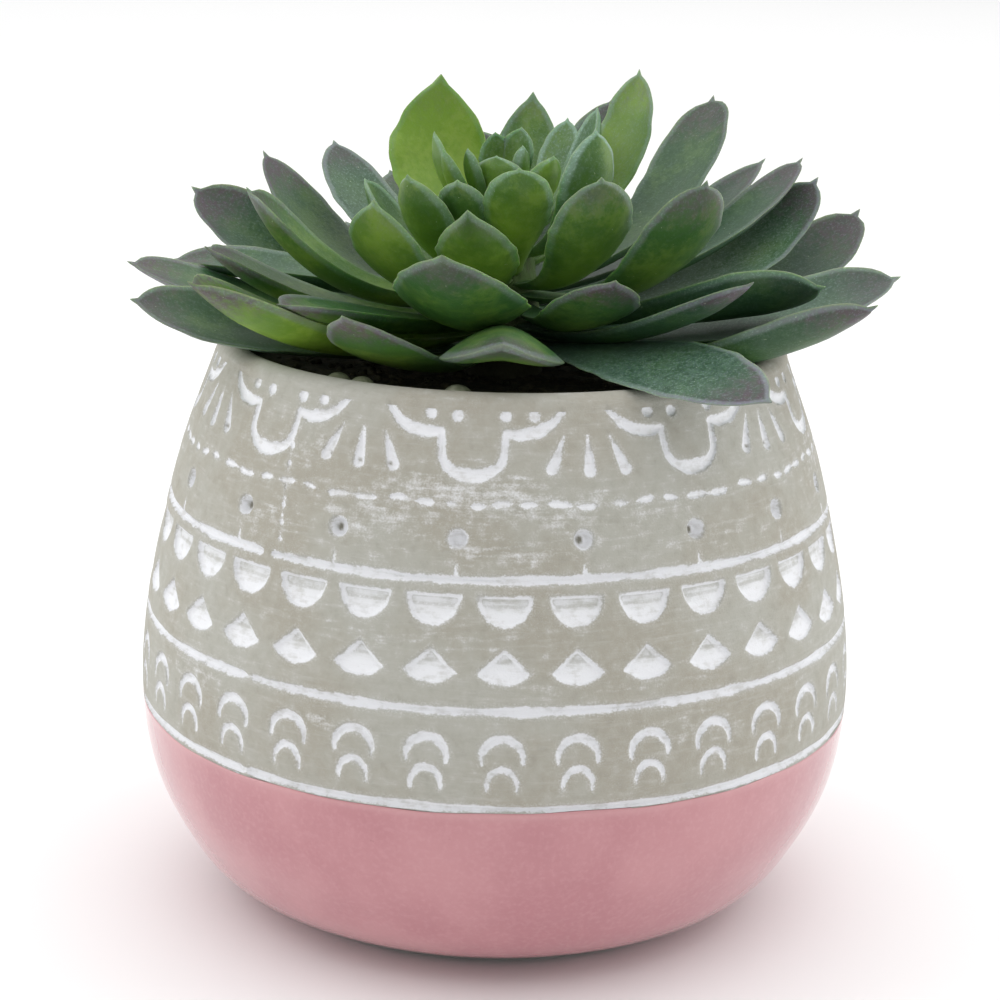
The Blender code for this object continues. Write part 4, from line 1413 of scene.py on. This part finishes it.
@dataclass(frozen=True)
class Blade:
    """How a leaf's blade is shaped from its sizes.

    Stations run from its root, 0, to its tip, 1. root_radius and thickness are in millimetres,
    and the other numbers are stations, powers and shares of the blade's width or thickness.
    """

    leaf: Leaf
    root_radius: float
    thickness: float = 2.4
    root_thickness: float = 0.62
    upper_share: float = 0.3
    edge_rounding: float = 2.2
    root_width: float = 0.36
    body_end: float = 0.975
    point_start: float = 0.9
    point_share: float = 0.4
    tip_taper: float = 0.18
    cup_start: float = 0.25
    cup_form: float = 1.7
    cup_narrowing: float = 0.12
    crowding: float = 1.25
    last_station: float = 0.9995
    sunk: float = 0.04

    def midrib(self, s: Field) -> Field:
        """The blade's bowed midrib.

        Args:
            s: Stations, 0 at the root and 1 at the tip.

        Returns:
            Points of the midrib in millimetres.
        """
        leaf = self.leaf
        root, tip = np.array([self.root_radius, leaf.root]), np.array([leaf.reach, leaf.tip])
        chord = tip - root
        middle = root + 0.5 * chord + 2 * leaf.bow * np.array([chord[1], -chord[0]])
        t = s[:, None]
        path = (1 - t) ** 2 * root + 2 * t * (1 - t) * middle + t**2 * tip
        turn = np.radians(leaf.azimuth - leaf.swing * (1 - s))
        return np.stack([path[:, 0] * np.cos(turn), path[:, 0] * np.sin(turn), path[:, 1]], axis=-1)

    def frames(self, s: Field) -> tuple[Field, Field, Field]:
        """How the blade lies along its midrib.

        Args:
            s: Stations, 0 at the root and 1 at the tip.

        Returns:
            The points, the directions across the blade and those out of its face.
        """
        along = self.midrib(s + 1e-3) - self.midrib(s - 1e-3)
        along /= np.linalg.norm(along, axis=1)[:, None]
        turn = np.radians(self.leaf.azimuth - self.leaf.swing * (1 - s))
        side = np.stack([-np.sin(turn), np.cos(turn), 0 * turn], axis=-1)
        side -= np.sum(side * along, axis=1)[:, None] * along
        side /= np.linalg.norm(side, axis=1)[:, None]
        up = np.cross(along, side)
        roll = np.radians(self.leaf.roll) * s[:, None]
        cosine, sine = np.cos(roll), np.sin(roll)
        return self.midrib(s), side * cosine + up * sine, up * cosine - side * sine

    def half_width(self, s: Field) -> Field:
        """Half the blade's width, with a small sharp point at the tip.

        Args:
            s: Stations, 0 at the root and 1 at the tip.

        Returns:
            Half widths in millimetres.
        """
        leaf = self.leaf
        grown = self.root_width + (1 - self.root_width) * eased(0, leaf.widest, s)
        closing = np.clip((s - leaf.widest) / (self.body_end - leaf.widest), 0, 1)
        body = leaf.width / 2 * np.where(s < leaf.widest, grown, (1 - closing**2) ** leaf.fullness)
        point = leaf.width / 2 * self.point_share * np.clip((1 - s) / (1 - self.point_start), 0, 1) ** 0.95
        return np.where(s > self.point_start, np.maximum(body, point), body)

    def lens(self, s: Field, y: Field) -> Field:
        """The blade's thickness, which thins towards its margins, its root and its tip.

        Args:
            s: Stations, 0 at the root and 1 at the tip.
            y: Places across, from -1 to 1.

        Returns:
            Thicknesses in millimetres.
        """
        belly = np.sin(pi * np.clip(s, 0, 1) ** 0.8)
        closing = np.clip((1 - s) / self.tip_taper, 0, 1) ** 0.5
        body = self.thickness * (self.root_thickness + (1 - self.root_thickness) * belly) * closing
        return body * np.clip(1 - np.abs(y) ** self.edge_rounding, 0, 1) ** 0.8

    def surface(self, s: Field, y: Field, above: Field) -> Field:
        """Points of the blade's skin.

        Args:
            s: Their stations.
            y: Their places across, from -1 at one margin to 1 at the other.
            above: Whether they lie on the upper side.

        Returns:
            The points in millimetres, one row each.
        """
        leaf = self.leaf
        centre, side, up = self.frames(s)
        half = self.half_width(s)
        cup = leaf.cup * np.clip(s / self.cup_start, 0, 1)
        ripple = leaf.wave * np.sin(s * 23 + leaf.azimuth) * np.sin(s * 9 + y * 2) * np.abs(y) ** 3
        nibbled = waves(s, (0.016, 39, leaf.azimuth), (0.012, 63, y * 3 - leaf.azimuth))
        across = half * y * (1 - self.cup_narrowing * cup * y**2)
        across *= 1 + ripple / 8 + nibbled * eased(0.2, 0.5, s)
        rise = cup * half * np.abs(y) ** self.cup_form + ripple
        rise += np.where(above, self.upper_share, -leaf.keel) * self.lens(s, y)
        return centre + across[:, None] * side + rise[:, None] * up

    def build(self, name: str, rows: int, columns: int) -> bpy.types.Object:
        """Builds the blade as a closed, smooth mesh.

        Args:
            name: The new object's name.
            rows: The number of faces from root to tip.
            columns: The number of faces round it.

        Returns:
            The new object, with what its shader needs stored on it.
        """
        leaf = self.leaf
        steps = 1 - (1 - np.linspace(0, 1, rows - 1)) ** self.crowding
        stations = np.concatenate([[0], steps, [1]]) * (1 + self.sunk) - self.sunk
        stations = np.clip(stations, -self.sunk, self.last_station)

        def shape(across: Field, along: Field) -> Field:
            """Places for steps round the blade and from root to tip."""
            turn = across / columns * 2 * pi
            s = stations[along.astype(int)]
            pole = (along == 0) | (along == rows)
            y = np.where(pole, 0.0, -np.cos(turn))
            above = np.sin(turn) >= -1e-9
            points = self.surface(s, y, above)
            points[pole] = self.frames(s[pole])[0]
            return points

        obj = grid_piece(name, columns, rows, shape)
        for key, numbers in self.numbers(rows, columns, stations).items():
            store(obj, key, numbers)
        close_up(obj)
        return obj

    def numbers(self, rows: int, columns: int, stations: Field) -> dict[str, Field]:
        """What the shader needs at each point of the grid that the blade is bent from.

        Args:
            rows: The grid's faces from root to tip.
            columns: Its faces round the blade.
            stations: The station of each row of points.

        Returns:
            The numbers to store, by name, in the grid's order.
        """
        s = np.repeat(stations, columns + 1)
        turn = np.tile(np.arange(columns + 1) / columns * 2 * pi, rows + 1)
        y = -np.cos(turn)
        leaf = self.leaf
        return {
            "along": np.clip(s, 0, 1),
            "across": y,
            "rim": self.half_width(s) * (1 - np.abs(y)),
            "under": (np.sin(turn) < 0).astype(float),
            "fresh": np.array(leaf.fresh),
            "frost": np.array(leaf.frost),
            "dusk": np.array(leaf.dusk),
        }


@dataclass
class Rosette:
    """All the leaves, each its own piece, and the bud at their heart."""

    stem: Stem = field(default_factory=Stem)
    root_gap: float = 0.4
    rows: int = 44
    columns: int = 36
    small_rows: int = 30
    small_columns: int = 28
    core: Section = ((112.8, 3.6), (115.5, 3.0), (119.0, 1.9), (121.5, 0.8))
    core_top: float = 121.9
    core_sides: int = 24
    bud_radius: float = 0.8
    bud_step: float = 0.07
    bud_thickness: float = 1.7

    def build(self) -> None:
        """Builds every leaf and the heart."""
        rows, columns = DETAIL.of(self.rows), DETAIL.of(self.columns) // 2 * 2
        for place, leaves in (("outer", OUTER_LEAVES), ("middle", MIDDLE_LEAVES), ("inner", INNER_LEAVES)):
            for number, leaf in enumerate(leaves, start=1):
                node = f"leaf_{place}_{number:02d}"
                blade = Blade(leaf, float(self.stem.radius(leaf.root)) + self.root_gap)
                settle(blade.build(f"{node}_blade", rows, columns), Finish.LEAF, node)
        self.build_heart()

    def build_heart(self) -> None:
        """Builds the core and the small leaves round it as one piece."""
        sides = [(radius, height) for height, radius in self.core]
        outline = np.array([(0.0, self.core[0][0]), *sides, (0.0, self.core_top)])
        heart = turned_piece("heart_bud", outline, self.core_sides)
        for key, number in (("along", 0.3), ("rim", 2.0), ("fresh", 0.7), ("frost", 0.3)):
            store(heart, key, np.array(number))
        for key in ("across", "under", "dusk"):
            store(heart, key, np.array(0.0))
        parts = [heart]
        for number, leaf in enumerate(HEART_LEAVES):
            blade = Blade(leaf, self.bud_radius + self.bud_step * number, thickness=self.bud_thickness)
            parts.append(blade.build(f"bud_leaf_{number}", self.small_rows, self.small_columns))
        settle(fused(parts), Finish.HEART, "heart")


# Studio


@dataclass
class Softbox:
    """A large soft lamp that faces the object."""

    name: str
    place: tuple[float, float, float]
    size: tuple[float, float]
    watts: float
    aim: tuple[float, float, float] = (0.0, 0.0, 0.07)

    def build(self) -> None:
        """Adds the lamp."""
        light = bpy.data.lights.new(self.name, "AREA")
        light.shape = "RECTANGLE"
        light.size, light.size_y = self.size
        light.energy = self.watts
        lamp = bpy.data.objects.new(self.name, light)
        lamp.location = self.place
        lamp.rotation_euler = (Vector(self.aim) - Vector(self.place)).to_track_quat("-Z", "Y").to_euler()
        bpy.context.scene.collection.objects.link(lamp)


@dataclass
class Studio:
    """A pale floor, soft light from all sides and the camera."""

    distance: float = 0.3888
    height: float = 0.1720
    pitch: float = 15.117
    roll: float = 1.392
    lens: float = 85.68
    sensor: float = 36.0
    shift: float = 0.0013
    nearest: float = 0.02
    floor_radius: float = 6.0
    floor_colour: Colour = (0.9, 0.9, 0.9)
    world_strength: float = 0.68
    softboxes: tuple[Softbox, ...] = (
        Softbox("left_softbox", (-0.75, 0.05, 0.35), (0.7, 0.9), 2.7),
        Softbox("right_softbox", (0.75, 0.10, 0.35), (0.7, 0.9), 2.4),
        Softbox("ceiling_softbox", (0.0, 1.0, 2.2), (4.5, 6.1), 66.5, (0.0, 1.0, 0.0)),
    )

    def build(self) -> None:
        """Builds the floor, the light and the camera, and shows colours as they are."""
        bpy.context.scene.view_settings.view_transform = "Standard"
        self.build_floor()
        self.build_world()
        for softbox in self.softboxes:
            softbox.build()
        self.build_camera()

    def build_floor(self) -> None:
        """A plain pale floor under the pot."""
        bpy.ops.object.select_all(action="DESELECT")
        bpy.ops.mesh.primitive_circle_add(vertices=96, radius=self.floor_radius, fill_type="NGON")
        floor = bpy.context.object
        floor.name = floor.data.name = "floor"
        graph = Graph("pale_floor")
        floor.data.materials.append(graph.finished(Base_Color=self.floor_colour, Roughness=0.7))

    def build_world(self) -> None:
        """Even white light from all round."""
        world = bpy.data.worlds.new("soft_white")
        world.use_nodes = True
        backdrop = world.node_tree.nodes["Background"]
        backdrop.inputs["Color"].default_value = (1.0, 1.0, 1.0, 1.0)
        backdrop.inputs["Strength"].default_value = self.world_strength
        bpy.context.scene.world = world

    def build_camera(self) -> None:
        """The camera at the photograph's viewing angle."""
        camera = bpy.data.cameras.new("camera")
        camera.lens = self.lens
        camera.sensor_width = self.sensor
        camera.shift_x = self.shift
        camera.clip_start = self.nearest
        holder = bpy.data.objects.new("camera", camera)
        p, r = radians(self.pitch), radians(self.roll)
        ahead, up, right = Vector((0, cos(p), -sin(p))), Vector((0, sin(p), cos(p))), Vector((1, 0, 0))
        x = right * cos(r) + up * sin(r)
        y = up * cos(r) - right * sin(r)
        place = Matrix((x, y, -ahead)).transposed().to_4x4()
        place.translation = Vector((0.0, -self.distance, self.height))
        holder.matrix_world = place
        bpy.context.scene.collection.objects.link(holder)
        bpy.context.scene.camera = holder


def main() -> None:
    """Builds every sub-assembly in order."""
    logging.basicConfig(level=logging.INFO, format="%(message)s")
    Pot().build()
    Glaze().build()
    Soil().build()
    Beads().build()
    Stem().build()
    Rosette().build()
    Studio().build()


if __name__ == "__main__":
    main()
